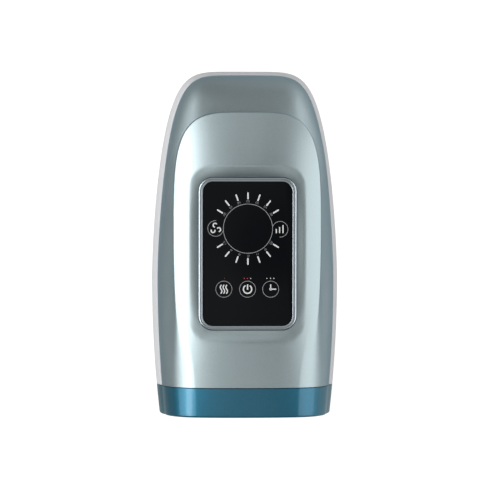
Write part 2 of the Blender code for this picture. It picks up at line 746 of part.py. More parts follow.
def board_screws(finish):
    """Four small screws that hold the control board to the panel's bed."""
    under = BED_BOTTOM - GAP - BOARD_THICKNESS - GAP
    for number, (x, y) in enumerate(panel_screw_places(), 1):
        steps = [
            (BOARD_SCREW_HEAD_RADIUS, under - BOARD_SCREW_HEAD),
            (BOARD_SCREW_HEAD_RADIUS, under),
            (BOARD_SCREW_RADIUS, under),
            (BOARD_SCREW_RADIUS, BED_TOP - 2 * GAP),
        ]
        screw = turned(f"board_screw_{number}", steps, (x, y, 0), "Z", finish, SMALL_SIDES)
        placed(screw, panel_frame())


def screw_places():
    """Places of the screws that hold the tunnel to the lower housing."""
    return [(side * SCREW_X, y) for side in (-1, 1) for y in (SCREW_FRONT_Y, SCREW_BACK_Y)]


def foot_places():
    return [(side * FOOT_X, y) for side in (-1, 1) for y in (FOOT_FRONT_Y, FOOT_BACK_Y)]


def main_board_post_places():
    """Places of the posts that carry the main board: two behind and one in front."""
    x = MAIN_BOARD_WIDTH / 2 - POST_RADIUS
    y = MAIN_BOARD_Y + MAIN_BOARD_LENGTH / 2 - POST_RADIUS
    front = MAIN_BOARD_Y - MAIN_BOARD_LENGTH / 2 + POST_RADIUS
    return [(-x, y), (x, y), (0.0, front)]


def socket_mouth_y():
    """The outer face of the charging socket, set just inside the shell's back."""
    return BACK_END_Y - float(belly_inset(SOCKET_Z)) - SOCKET_SETBACK


def lower_housing(finish):
    """The bottom shell with its ribs, posts, screw holes, foot pockets and the socket's window."""
    levels = shell_levels(FOOT_HEIGHT, PARTING_HEIGHT - GAP, SHELL_LEVELS)
    shell = mirrored_solid(
        "lower_housing", lower_rows(0.0, SHELL_FRONT_Y, OUTLINE_COLUMNS, levels), finish, closed_middle=False
    )
    inner_levels = shell_levels(FLOOR_HEIGHT, PARTING_HEIGHT, SHELL_LEVELS - 2)
    inner_levels = np.append(inner_levels, PARTING_HEIGHT + OVERRUN)
    cavity = mirrored_solid(
        "cavity",
        lower_rows(WALL, SHELL_FRONT_Y - OVERRUN, CAVITY_COLUMNS, inner_levels),
        finish,
        closed_middle=False,
    )
    cut(shell, cavity)
    under = FLOOR_HEIGHT - WALL / 2
    ribs = []
    for y in (SCREW_FRONT_Y + RIM_DEPTH, (SCREW_FRONT_Y + SCREW_BACK_Y) / 2, SCREW_BACK_Y + RIM_DEPTH / 2):
        low = (-RIB_SPAN / 2, y - RIB_WIDTH / 2, under)
        high = (RIB_SPAN / 2, y + RIB_WIDTH / 2, TUNNEL_LOW - GAP)
        ribs.append(box("rib", low, high, finish))
    posts = []
    for x, y in main_board_post_places():
        post_top = MAIN_BOARD_HEIGHT - GAP
        posts.append(rod("post", POST_RADIUS, under, post_top, (x, y, 0), "Z", finish, SMALL_SIDES))
    fuse(shell, *ribs, *posts)
    holes = []
    for x, y in screw_places():
        radius = SCREW_RADIUS + GAP
        holes.append(rod("hole", radius, 0.0, FLOOR_HEIGHT + GAP, (x, y, 0), "Z", finish, SMALL_SIDES))
        sunk = FOOT_HEIGHT + WALL / 2
        head = SCREW_HEAD_RADIUS + SCREW_CLEARANCE
        holes.append(rod("hole", head, 0.0, sunk, (x, y, 0), "Z", finish))
    for x, y in foot_places():
        top = FOOT_HEIGHT + FOOT_POCKET
        holes.append(rod("pocket", FOOT_RADIUS + GAP, 0.0, top, (x, y, 0), "Z", finish))
    width = SOCKET_WIDTH + 2 * GAP
    height = SOCKET_HEIGHT + 2 * GAP
    back = BACK_END_Y
    low = (-width / 2, back - SOCKET_DEPTH - OVERRUN, SOCKET_Z - height / 2)
    high = (width / 2, back + OVERRUN, SOCKET_Z + height / 2)
    holes.append(box("socket_window", low, high, finish))
    return cut(shell, *holes)


def front_rim(finish):
    """The metallic band round the hand opening, with its flat face and the opening's own edge."""
    front = FRONT_END_Y
    back = front + RIM_DEPTH
    rings = [band_ring(front, RIM_CHAMFER), band_ring(front + RIM_CHAMFER, 0.0), band_ring(back, 0.0)]
    for ring, y in zip(rings, (front, front + RIM_CHAMFER, back)):
        ring[:, 1] = y
    band = loft("front_rim", rings, finish)
    hollow_front = front + RIM_FACE
    inner = [band_ring(hollow_front, WALL), band_ring(back + OVERRUN, WALL)]
    hollow = loft("hollow", inner, finish)
    mouth = loft("mouth", [tunnel_ring(front - OVERRUN, TUNNEL_WALL), tunnel_ring(back, TUNNEL_WALL)], finish)
    return cut(band, hollow, mouth)


def tunnel_liner(finish):
    """The frame round the hand space, closed at the fingertips, with the rear shelf and the screw bosses."""
    front = FRONT_END_Y + RIM_FACE + GAP
    shell = tunnel_solid("tunnel_liner", front, 0.0, finish)
    shelf = box(
        "shelf",
        (-SHELF_WIDTH / 2, TUNNEL_END_Y - TUNNEL_WALL, SHELF_HEIGHT),
        (SHELF_WIDTH / 2, SHELF_BACK_Y, SHELF_HEIGHT + SHELF_THICKNESS),
        finish,
    )
    bosses = []
    for x, y in screw_places():
        low = FLOOR_HEIGHT + GAP
        bosses.append(rod("boss", SCREW_BOSS_RADIUS, low, TUNNEL_LOW + TUNNEL_WALL, (x, y, 0), "Z", finish))
    fuse(shell, shelf, *bosses)
    hollow = tunnel_solid("hollow", front - OVERRUN, TUNNEL_WALL, finish)
    holes = []
    for x, y in screw_places():
        hole_top = screw_tip() + GAP
        holes.append(rod("hole", SCREW_RADIUS + GAP, 0.0, hole_top, (x, y, 0), "Z", finish, SMALL_SIDES))
    return cut(shell, hollow, *holes)


def screw_tip():
    """Height of the housing screws' tips."""
    return FOOT_HEIGHT + GAP + SCREW_LENGTH


def housing_screws(finish):
    """Four screws sunk in the floor that hold the tunnel to the lower housing."""
    seat = FOOT_HEIGHT + WALL / 2 - GAP
    for number, (x, y) in enumerate(screw_places(), 1):
        low = seat - WALL / 2
        steps = [
            (SCREW_HEAD_RADIUS - SMALL_BEVEL, low),
            (SCREW_HEAD_RADIUS, low + SMALL_BEVEL),
            (SCREW_HEAD_RADIUS, seat),
            (SCREW_RADIUS, seat),
            (SCREW_RADIUS, screw_tip()),
        ]
        turned(f"housing_screw_{number}", steps, (x, y, 0), "Z", finish, SMALL_SIDES)


def rubber_feet(finish):
    """Four round feet pressed into pockets in the floor."""
    top = FOOT_HEIGHT + FOOT_POCKET - GAP
    for number, (x, y) in enumerate(foot_places(), 1):
        steps = [(FOOT_RADIUS - SMALL_BEVEL, 0.0), (FOOT_RADIUS, SMALL_BEVEL), (FOOT_RADIUS, top)]
        turned(f"rubber_foot_{number}", steps, (x, y, 0), "Z", finish)


def ceiling_height():
    """The highest flat top that clears the tunnel's ceiling over a cell's flat width."""
    half_height = (TUNNEL_HIGH - TUNNEL_LOW) / 2 - TUNNEL_WALL
    share = (PAD_WIDTH / 2 - CELL_INSET) / (TUNNEL_WIDTH / 2 - TUNNEL_WALL)
    rise = half_height * (1 - share**TUNNEL_POWER) ** (1 / TUNNEL_POWER)
    return (TUNNEL_LOW + TUNNEL_HIGH) / 2 + rise - GAP


def floor_level():
    return TUNNEL_LOW + TUNNEL_HIGH - ceiling_height()


def pad_levels():
    """Heights of the upper cells' tops, the pads' tops and the pads' undersides."""
    cell_top = ceiling_height()
    pad_top = cell_top - CELL_HEIGHT - GAP
    return cell_top, pad_top, pad_top - PAD_THICKNESS


def air_cell(name, length, low, high, centre_y, finish):
    """A flat air bag with rounded sides, one welded chamber."""
    middle = (low + high) / 2
    width = PAD_WIDTH - 2 * CELL_INSET
    long = length - 2 * CELL_INSET
    bulge = CELL_EDGE_SHARE * (high - low)
    levels = [(bulge, low), (0.0, middle - bulge / 2), (0.0, middle + bulge / 2), (bulge, high)]
    rings = []
    for inset, z in levels:
        rings.append(rounded_ring(width - 2 * inset, long - 2 * inset, PAD_CORNER - inset, z, centre_y))
    return loft(name, rings, finish)


def upper_pads(cell_finish, pad_finish):
    """The palm and finger cells under the ceiling, each with the pad that it pushes down."""
    cell_top, pad_top, pad_low = pad_levels()
    for part, y in (("palm", PALM_PAD_Y), ("finger", FINGER_PAD_Y)):
        air_cell(f"upper_{part}_cell", PAD_LENGTH, cell_top - CELL_HEIGHT, cell_top, y, cell_finish)
        name = f"upper_{part}_pad"
        slab(name, PAD_WIDTH, PAD_LENGTH, PAD_CORNER, pad_low, pad_top, pad_finish, y, SMALL_BEVEL)


def lower_pads(cell_finish, heater_finish, pad_finish):
    """The lower cell, the heater film on it and the palm rest with its rows of massage nodes."""
    y = (PAD_FRONT_Y + PAD_BACK_Y) / 2
    cell_low = floor_level()
    cell_high = cell_low + LOWER_CELL_HEIGHT
    air_cell("lower_cell", LOWER_PAD_LENGTH, cell_low, cell_high, y, cell_finish)
    heater_low = cell_high + GAP
    heater_high = heater_low + HEATER_THICKNESS
    slab("heater_film", PAD_WIDTH, LOWER_PAD_LENGTH, PAD_CORNER, heater_low, heater_high, heater_finish, y)
    pad_low = heater_high + GAP
    pad_top = pad_low + PAD_THICKNESS
    long = LOWER_PAD_LENGTH
    rest = slab("lower_pad", PAD_WIDTH, long, PAD_CORNER, pad_low, pad_top, pad_finish, y, SMALL_BEVEL)
    columns = int((PAD_WIDTH - 2 * NODE_RADIUS) // NODE_PITCH)
    rows = int((LOWER_PAD_LENGTH - 2 * NODE_RADIUS) // NODE_PITCH)
    nodes = []
    for i in range(columns):
        for j in range(rows):
            x = (i - (columns - 1) / 2) * NODE_PITCH
            along = y + (j - (rows - 1) / 2) * NODE_PITCH
            steps = [(NODE_RADIUS, pad_top - PAD_THICKNESS / 2), (NODE_RADIUS, pad_top)]
            for wide, tall in NODE_DOME_SHARES:
                steps.append((NODE_RADIUS * wide, pad_top + NODE_RISE * tall))
            nodes.append(turned("node", steps, (x, along, 0), "Z", pad_finish, SMALL_SIDES))
    return fuse(rest, *nodes)


def pump_head_right_x():
    return PUMP_HEAD_LEFT_X + PUMP_HEAD_LENGTH


def pump(head_finish, motor_finish, crank_finish):
    """The diaphragm pump: a square head with its crank chamber, and a round motor that drives the crank."""
    left = PUMP_HEAD_LEFT_X
    right = pump_head_right_x()
    half = PUMP_HEAD_SIZE / 2
    axis = (0, PUMP_Y, PUMP_HEIGHT)
    head = box(
        "pump_head",
        (left, PUMP_Y - half, PUMP_HEIGHT - half),
        (right, PUMP_Y + half, PUMP_HEIGHT + half),
        head_finish,
        SMALL_BEVEL,
    )
    block_side = VALVE_X - VALVE_BLOCK_WIDTH / 2 - GAP
    spout_z = PUMP_HEIGHT - PUMP_NOZZLE_DROP
    nozzle_at = (0, PUMP_Y, spout_z)
    start = right - OVERRUN
    nozzle = rod("nozzle", PUMP_NOZZLE_RADIUS, start, block_side, nozzle_at, "X", head_finish, SMALL_SIDES)
    fuse(head, nozzle)
    chamber_low = left + PUMP_CAP_THICKNESS
    chamber_high = chamber_low + PUMP_CHAMBER_DEPTH
    chamber = rod("chamber", PUMP_CHAMBER_RADIUS, chamber_low, chamber_high, axis, "X", head_finish)
    bore = rod("bore", MOTOR_BOSS_RADIUS + GAP, left - OVERRUN, chamber_low + GAP, axis, "X", head_finish)
    narrow = PUMP_NOZZLE_RADIUS / 2
    inlet = rod("inlet", narrow, chamber_high - GAP, right + OVERRUN, axis, "X", head_finish, SMALL_SIDES)
    cut(head, chamber, bore, inlet)

    motor_right = left - GAP
    motor_left = motor_right - MOTOR_LENGTH
    steps = [
        (MOTOR_RADIUS - SMALL_BEVEL, motor_left),
        (MOTOR_RADIUS, motor_left + SMALL_BEVEL),
        (MOTOR_RADIUS, motor_right - SMALL_BEVEL),
        (MOTOR_RADIUS - SMALL_BEVEL, motor_right),
        (MOTOR_BOSS_RADIUS, motor_right),
        (MOTOR_BOSS_RADIUS, motor_right + MOTOR_BOSS_LENGTH),
    ]
    motor = turned("pump_motor", steps, axis, "X", motor_finish, 2 * SMALL_SIDES)
    shaft_low = motor_right - MOTOR_LENGTH / 2
    radius = SHAFT_RADIUS + GAP
    bearing = rod("bearing", radius, shaft_low - GAP, chamber_low, axis, "X", motor_finish, SMALL_SIDES)
    cut(motor, bearing)

    disc_low = chamber_low + 2 * GAP
    disc_high = disc_low + CRANK_THICKNESS
    steps = [
        (SHAFT_RADIUS, shaft_low),
        (SHAFT_RADIUS, disc_low),
        (CRANK_RADIUS, disc_low),
        (CRANK_RADIUS, disc_high),
    ]
    crank = turned("pump_crank", steps, axis, "X", crank_finish)
    pin_at = (0, PUMP_Y + CRANK_PIN_OFFSET, PUMP_HEIGHT)
    pin_end = disc_high + CRANK_PIN_LENGTH
    pin = rod("pin", CRANK_PIN_RADIUS, disc_low + GAP, pin_end, pin_at, "X", crank_finish, SMALL_SIDES)
    fuse(crank, pin)


def pump_cradle(finish):
    """The rubber bed on the floor that holds the motor and the pump head and takes up their shake."""
    low = FLOOR_HEIGHT + GAP
    high = PUMP_HEIGHT - MOTOR_RADIUS + CRADLE_RISE
    left = PUMP_HEAD_LEFT_X - GAP - MOTOR_LENGTH
    right = pump_head_right_x()
    bed = box(
        "pump_cradle",
        (left, PUMP_Y - CRADLE_LENGTH / 2, low),
        (right, PUMP_Y + CRADLE_LENGTH / 2, high),
        finish,
        SMALL_BEVEL,
    )
    motor = rod(
        "motor_space",
        MOTOR_RADIUS + GAP,
        left - OVERRUN,
        PUMP_HEAD_LEFT_X + GAP,
        (0, PUMP_Y, PUMP_HEIGHT),
        "X",
        finish,
        2 * SMALL_SIDES,
    )
    half = PUMP_HEAD_SIZE / 2 + GAP
    head = box(
        "head_space",
        (PUMP_HEAD_LEFT_X - GAP, PUMP_Y - half, PUMP_HEIGHT - half),
        (right + OVERRUN, PUMP_Y + half, high + OVERRUN),
        finish,
    )
    return cut(bed, motor, head)


def valve_places():
    return [PUMP_Y + k * VALVE_PITCH for k in (-1, 0, 1)]


def valve_levels():
    """Heights of the block's top, the coils' ends and the plungers' feet and head undersides."""
    block_top = FLOOR_HEIGHT + GAP + VALVE_BLOCK_HEIGHT
    coil_low = block_top + GAP
    coil_top = coil_low + COIL_HEIGHT
    head_low = coil_top + GAP + SPRING_HEIGHT + GAP
    return block_top, coil_low, coil_top, head_low


def valve_block(finish):
    """The air manifold on the floor, with three outlets that face the tunnel."""
    block_top, _, _, _ = valve_levels()
    half = VALVE_BLOCK_WIDTH / 2
    return box(
        "valve_block",
        (VALVE_X - half, PUMP_Y - VALVE_BLOCK_LENGTH / 2, FLOOR_HEIGHT + GAP),
        (VALVE_X + half, PUMP_Y + VALVE_BLOCK_LENGTH / 2, block_top),
        finish,
        SMALL_BEVEL,
    )


def spring_curve(name, radius, low, high, x, y, finish):
    """A compression spring: one unbroken wire wound by a formula."""
    points = SPRING_TURNS * SMALL_SIDES
    data = bpy.data.curves.new(name, "CURVE")
    data.dimensions = "3D"
    data.bevel_depth = SPRING_WIRE
    data.bevel_resolution = 0
    data.use_fill_caps = True
    line = data.splines.new("POLY")
    line.points.add(points)
    climb = (high - low - 2 * SPRING_WIRE) / points
    for k in range(points + 1):
        angle = 2 * math.pi * k / SMALL_SIDES
        z = low + SPRING_WIRE + climb * k
        line.points[k].co = (x + radius * math.cos(angle), y + radius * math.sin(angle), z, 1.0)
    data.materials.append(finish)
    made = bpy.data.objects.new(name, data)
    bpy.context.collection.objects.link(made)
    return made


def valves(coil_finish, plunger_finish, spring_finish):
    """Three solenoid valves on the block: each a coil, its plunger and the spring that lifts it."""
    _, coil_low, coil_top, head_low = valve_levels()
    names = ("palm", "finger", "lower")
    for part, y in zip(names, valve_places()):
        coil = box(
            f"{part}_valve_coil",
            (VALVE_X - COIL_WIDTH / 2, y - COIL_LENGTH / 2, coil_low),
            (VALVE_X + COIL_WIDTH / 2, y + COIL_LENGTH / 2, coil_top),
            coil_finish,
            SMALL_BEVEL,
        )
        bottom = coil_top - PLUNGER_DEPTH
        bore_low = bottom - SPRING_HEIGHT
        bore_radius = PLUNGER_RADIUS + PLUNGER_BORE_CLEARANCE
        at = (VALVE_X, y, 0)
        cut(coil, rod("bore", bore_radius, bore_low, coil_top + OVERRUN, at, "Z", coil_finish, SMALL_SIDES))
        steps = [
            (PLUNGER_RADIUS, bottom),
            (PLUNGER_RADIUS, head_low),
            (PLUNGER_HEAD_RADIUS, head_low),
            (PLUNGER_HEAD_RADIUS, head_low + PLUNGER_HEAD_THICKNESS),
        ]
        turned(f"{part}_valve_plunger", steps, at, "Z", plunger_finish, SMALL_SIDES)
        radius = (PLUNGER_RADIUS + PLUNGER_HEAD_RADIUS) / 2
        spring_curve(f"{part}_valve_spring", radius, coil_top + GAP, head_low - GAP, VALVE_X, y, spring_finish)


def hose(name, x, finish):
    """A short air hose from the valve block forward, up and into the tunnel's end wall."""
    start = PUMP_Y - VALVE_BLOCK_LENGTH / 2 - GAP
    end = TUNNEL_END_Y + GAP
    low = FLOOR_HEIGHT + VALVE_BLOCK_HEIGHT / 2
    middle = (start + end) / 2
    bend = (start - end) / 2
    angles = np.linspace(0, math.pi / 2, SMALL_SIDES // 2)
    first = [(x, middle + bend * (1 - math.sin(a)), low + bend * (1 - math.cos(a))) for a in angles]
    high = low + HOSE_RISE
    last = [(x, middle - bend * (1 - math.cos(a)), high - bend * (1 - math.sin(a))) for a in angles]
    route = first + last
    data = bpy.data.curves.new(name, "CURVE")
    data.dimensions = "3D"
    data.bevel_depth = HOSE_RADIUS
    data.bevel_resolution = 2
    data.use_fill_caps = True
    line = data.splines.new("POLY")
    line.points.add(len(route) - 1)
    for point, place in zip(line.points, route):
        point.co = (*place, 1.0)
    data.materials.append(finish)
    made = bpy.data.objects.new(name, data)
    bpy.context.collection.objects.link(made)
    return made


def hoses(finish):
    for part, k in (("palm", -1), ("finger", 0), ("lower", 1)):
        hose(f"{part}_hose", VALVE_X + k * HOSE_PITCH, finish)


def main_board(finish):
    """The power board on its posts behind the tunnel, with its larger parts."""
    half = MAIN_BOARD_WIDTH / 2
    front = MAIN_BOARD_Y - MAIN_BOARD_LENGTH / 2
    back = MAIN_BOARD_Y + MAIN_BOARD_LENGTH / 2
    top = MAIN_BOARD_HEIGHT + BOARD_THICKNESS
    board = box("main_board", (-half, front, MAIN_BOARD_HEIGHT), (half, back, top), finish)
    parts = []
    for share_x, share_y in BOARD_PART_SHARES:
        x = share_x * half
        y = front + share_y * MAIN_BOARD_LENGTH
        low = (x - CHIP_SIZE / 2, y - CHIP_SIZE / 2, top - BOARD_THICKNESS / 2)
        high = (x + CHIP_SIZE / 2, y + CHIP_SIZE / 2, top + CHIP_HEIGHT)
        parts.append(box("part", low, high, finish))
    return fuse(board, *parts)


def battery_places():
    return [BATTERY_Y - BATTERY_PITCH / 2, BATTERY_Y + BATTERY_PITCH / 2]


def battery_height():
    """Height of the cells' axes over the rear shelf."""
    return SHELF_HEIGHT + SHELF_THICKNESS + GAP + HOLDER_WALL + GAP + BATTERY_RADIUS


def battery(holder_finish, cell_finish):
    """The tray on the rear shelf and the two round cells in it."""
    low = SHELF_HEIGHT + SHELF_THICKNESS + GAP
    half = BATTERY_LENGTH / 2 + HOLDER_WALL + GAP
    tray = box(
        "battery_holder",
        (-half, BATTERY_Y - HOLDER_REACH, low),
        (half, BATTERY_Y + HOLDER_REACH, low + HOLDER_RISE),
        holder_finish,
        SMALL_BEVEL,
    )
    height = battery_height()
    spaces = []
    for y in battery_places():
        inner = BATTERY_LENGTH / 2 + GAP
        place = (0, y, height)
        spaces.append(rod("space", BATTERY_RADIUS + GAP, -inner, inner, place, "X", holder_finish, RING_SIDES // 2))
    cut(tray, *spaces)
    for part, y in zip(("front", "rear"), battery_places()):
        end = BATTERY_LENGTH / 2
        steps = [
            (BATTERY_RADIUS - SMALL_BEVEL, -end),
            (BATTERY_RADIUS, -end + SMALL_BEVEL),
            (BATTERY_RADIUS, end - SMALL_BEVEL - BOARD_THICKNESS),
            (BATTERY_RADIUS - SMALL_BEVEL, end - BOARD_THICKNESS),
            (BATTERY_CAP_RADIUS, end - BOARD_THICKNESS),
            (BATTERY_CAP_RADIUS, end),
        ]
        turned(f"{part}_battery_cell", steps, (0, y, height), "X", cell_finish, RING_SIDES // 2)


def charging_socket(finish):
    """The charging socket in the back of the lower housing, open towards the back."""
    mouth = socket_mouth_y()
    low = (-SOCKET_WIDTH / 2, mouth - SOCKET_DEPTH, SOCKET_Z - SOCKET_HEIGHT / 2)
    high = (SOCKET_WIDTH / 2, mouth, SOCKET_Z + SOCKET_HEIGHT / 2)
    shell = box("charging_socket", low, high, finish, SMALL_BEVEL)
    inner_low = (low[0] + SOCKET_WALL, mouth - SOCKET_MOUTH_DEPTH, low[2] + SOCKET_WALL)
    inner_high = (high[0] - SOCKET_WALL, mouth + OVERRUN, high[2] - SOCKET_WALL)
    return cut(shell, box("mouth", inner_low, inner_high, finish))


def build():
    clear_scene()
    teal_paint = material("teal_silver_paint", (0.34, 0.43, 0.46), 0.35, 0.8)
    pale_paint = material("pale_silver_paint", (0.62, 0.64, 0.66), 0.4, 0.5)
    blue_paint = material("teal_blue_paint", (0.04, 0.22, 0.32), 0.3, 0.8)
    silver = material("silver_trim", (0.75, 0.77, 0.78), 0.25, 0.9)
    glass = material("black_glass", (0.004, 0.005, 0.006), 0.08)
    board_green = material("circuit_board", (0.02, 0.16, 0.07), 0.5)
    steel = material("steel", (0.55, 0.56, 0.57), 0.3, 1.0)
    brass = material("brass", (0.65, 0.48, 0.22), 0.35, 1.0)
    grey_plastic = material("grey_plastic", (0.30, 0.31, 0.32), 0.6)
    white_plastic = material("white_plastic", (0.72, 0.72, 0.70), 0.5)
    cell_film = material("air_cell_film", (0.55, 0.55, 0.52), 0.45)
    pad_skin = material("pad_skin", (0.10, 0.11, 0.12), 0.8)
    heater_skin = material("heater_film", (0.60, 0.28, 0.08), 0.5)
    rubber = material("rubber", (0.03, 0.03, 0.03), 0.85)
    wrap = material("battery_wrap", (0.05, 0.16, 0.45), 0.4)

    upper_housing(teal_paint)
    lower_housing(pale_paint)
    front_rim(blue_paint)
    panel_bezel(silver)
    touch_panel(glass)
    control_board(board_green)
    board_screws(steel)
    tunnel_liner(grey_plastic)
    upper_pads(cell_film, pad_skin)
    lower_pads(cell_film, heater_skin, pad_skin)
    pump(white_plastic, steel, brass)
    pump_cradle(rubber)
    valve_block(white_plastic)
    valves(steel, brass, steel)
    hoses(cell_film)
    main_board(board_green)
    battery(grey_plastic, wrap)
    charging_socket(steel)
    housing_screws(steel)
    rubber_feet(rubber)


build()
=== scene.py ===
# %% [markdown]
# # A hand massager in a shared CAD frame
# The object is a moulded box that a hand slides into. A metallic top shell with a raised
# saddle carries a black touch panel, a pale shell closes it below, and a blue band goes
# round the opening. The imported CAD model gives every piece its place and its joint. Here
# the visible pieces get their fine surfaces and finishes, in the same frame and the same size.

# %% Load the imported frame
import json
import math

import bmesh
import bpy
import numpy as np
from mathutils import Matrix, Vector

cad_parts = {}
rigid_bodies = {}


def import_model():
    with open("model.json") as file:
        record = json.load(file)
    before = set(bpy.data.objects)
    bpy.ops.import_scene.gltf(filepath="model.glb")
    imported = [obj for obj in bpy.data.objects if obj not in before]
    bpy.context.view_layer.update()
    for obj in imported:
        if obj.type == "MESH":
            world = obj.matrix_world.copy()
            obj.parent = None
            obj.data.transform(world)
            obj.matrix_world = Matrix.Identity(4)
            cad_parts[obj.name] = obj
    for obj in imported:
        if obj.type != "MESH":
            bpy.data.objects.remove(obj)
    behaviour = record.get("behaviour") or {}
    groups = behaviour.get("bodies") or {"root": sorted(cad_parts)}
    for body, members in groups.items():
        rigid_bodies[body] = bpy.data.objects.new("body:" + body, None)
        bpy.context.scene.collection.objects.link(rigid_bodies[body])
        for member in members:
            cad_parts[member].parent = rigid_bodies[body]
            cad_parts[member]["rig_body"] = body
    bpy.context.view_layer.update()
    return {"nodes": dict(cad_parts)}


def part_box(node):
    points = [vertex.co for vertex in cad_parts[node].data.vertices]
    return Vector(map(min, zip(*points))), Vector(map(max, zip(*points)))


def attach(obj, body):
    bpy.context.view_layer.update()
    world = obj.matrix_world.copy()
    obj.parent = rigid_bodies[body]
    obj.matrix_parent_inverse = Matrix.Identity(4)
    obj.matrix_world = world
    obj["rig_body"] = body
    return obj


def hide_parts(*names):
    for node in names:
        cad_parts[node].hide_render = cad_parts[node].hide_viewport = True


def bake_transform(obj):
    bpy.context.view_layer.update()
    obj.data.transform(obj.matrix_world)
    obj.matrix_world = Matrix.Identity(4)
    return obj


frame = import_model()

# %% [markdown]
# The main sizes come first. They are the same ones that the solids were built from, because
# a finer surface has to sit exactly where the coarser solid is.

# %% The body's main sizes
BODY_WIDTH = 0.125
BODY_LENGTH = 0.230
FRONT_END_Y = -BODY_LENGTH / 2
BACK_END_Y = BODY_LENGTH / 2
WIDEST_Y = -0.023
FRONT_WIDTH = 0.1146
SIDE_POWER = 5.8
BACK_POWER = 1.5
FOOT_HEIGHT = 0.0025
BELLY_HEIGHT = 0.033
PARTING_HEIGHT = 0.053
BELLY_TUCK = 0.012
BELLY_POWER = 2.2
PARTING_TUCK = 0.0038
GAP = 0.0003
WALL = 0.0025
SEAM_Y = FRONT_END_Y + 0.0195
print("body", BODY_WIDTH * 1000, "x", BODY_LENGTH * 1000, "mm")

# %% [markdown]
# Every shape below is a grid of points, worked out as whole arrays. One helper turns a grid
# into a mesh piece. It writes the vertices and the square faces in one go, closes the seam
# when the grid goes all the way round, and gives each pole one shared vertex.

# %% A grid of points becomes a piece


def smooth(t):
    """Goes from 0 to 1 as t does, level at both ends: 3 t squared minus 2 t cubed."""
    t = np.clip(t, 0.0, 1.0)
    return t * t * (3.0 - 2.0 * t)


SHARP = 32.0


def mesh_piece(name, points, faces, finish, body="chassis", sharp=SHARP):
    """A mesh object from an array of points and a list of faces, smooth but for its sharp edges."""
    data = bpy.data.meshes.new(name)
    data.from_pydata(points.reshape(-1, 3).tolist(), [], faces)
    data.validate()
    made = bpy.data.objects.new(name, data)
    bpy.context.collection.objects.link(made)
    weld(made)
    data.shade_smooth()
    data.set_sharp_from_angle(angle=math.radians(sharp))
    data.materials.append(finish)
    if body:
        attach(made, body)
    return made


WELD = 2e-6


def weld(piece):
    """Merges points that lie together, and turns all faces outward on a closed piece."""
    work = bmesh.new()
    work.from_mesh(piece.data)
    bmesh.ops.remove_doubles(work, verts=work.verts, dist=WELD)
    bmesh.ops.dissolve_degenerate(work, edges=work.edges, dist=WELD / 4)
    bmesh.ops.recalc_face_normals(work, faces=work.faces)
    work.to_mesh(piece.data)
    work.free()


def grid_faces(rows, columns, wrap_rows=False, wrap_columns=False, start=0):
    """The square faces of a grid of points, with its last row or column joined to the first on request."""
    i = np.arange(rows if wrap_rows else rows - 1)
    j = np.arange(columns if wrap_columns else columns - 1)
    a, b = np.meshgrid(i, j, indexing="ij")
    c, d = (a + 1) % rows, (b + 1) % columns
    squares = np.stack([a * columns + b, a * columns + d, c * columns + d, c * columns + b], axis=-1)
    return (squares.reshape(-1, 4) + start).tolist()


print("helpers ready")

# %% [markdown]
# Finishes are built from nodes. The arithmetic is written as plain Python: a small class
# wraps a node's output, and each operator adds the Math node that does the same sum. One
# method makes every other kind of node. All patterns read Object coordinates, so they stay
# on the piece when it moves.

# %% Shader arithmetic


class Wire:
    """One node output. Sums, products and powers of wires add Math nodes to its tree."""

    def __init__(self, tree, socket):
        self.tree = tree
        self.socket = socket

    def maths(self, operation, *values, clamp=False):
        node = self.tree.nodes.new("ShaderNodeMath")
        node.operation = operation
        node.use_clamp = clamp
        for slot, value in zip(node.inputs, values):
            plug(self.tree, slot, value)
        return Wire(self.tree, node.outputs[0])

    def __add__(self, other):
        return self.maths("ADD", self, other)

    def __radd__(self, other):
        return self.maths("ADD", other, self)

    def __sub__(self, other):
        return self.maths("SUBTRACT", self, other)

    def __rsub__(self, other):
        return self.maths("SUBTRACT", other, self)

    def __mul__(self, other):
        return self.maths("MULTIPLY", self, other)

    def __rmul__(self, other):
        return self.maths("MULTIPLY", other, self)

    def __truediv__(self, other):
        return self.maths("DIVIDE", self, other)

    def __pow__(self, other):
        return self.maths("POWER", self, other)

    def abs(self):
        return self.maths("ABSOLUTE", self)

    def sine(self):
        return self.maths("SINE", self)

    def fraction(self):
        return self.maths("FRACT", self)

    def least_zero(self):
        return self.maths("MAXIMUM", self, 0.0)

    def clamp(self):
        return self.maths("ADD", self, 0.0, clamp=True)

    def step(self, low, high):
        """Goes smoothly from 0 at low to 1 at high."""
        t = ((self - low) / (high - low)).clamp()
        return t * t * (3.0 - 2.0 * t)


def plug(tree, slot, value):
    """Links a wire to a socket, or writes a plain value on it."""
    if isinstance(value, Wire):
        tree.links.new(value.socket, slot)
    elif value is not None:
        if isinstance(value, (tuple, list)) and len(value) == 3 and slot.type == "RGBA":
            value = (*value, 1.0)
        slot.default_value = value


print("Wire ready: its operators add Math nodes")

# %% [markdown]
# A finish starts as a Principled shader with plain values. Each call adds a node or feeds a
# socket, so a material reads like a short recipe: a pattern, a mix of two shades, a roughness
# that follows the pattern, and a bump. Uniform values stay on the shader's own sockets.

# %% A finish under construction


def shades(colour, spread):
    """A darker and a lighter shade of a colour: the colour times 1 - spread and times 1 + spread."""
    return tuple(c * (1 - spread) for c in colour), tuple(min(c * (1 + spread), 1.0) for c in colour)


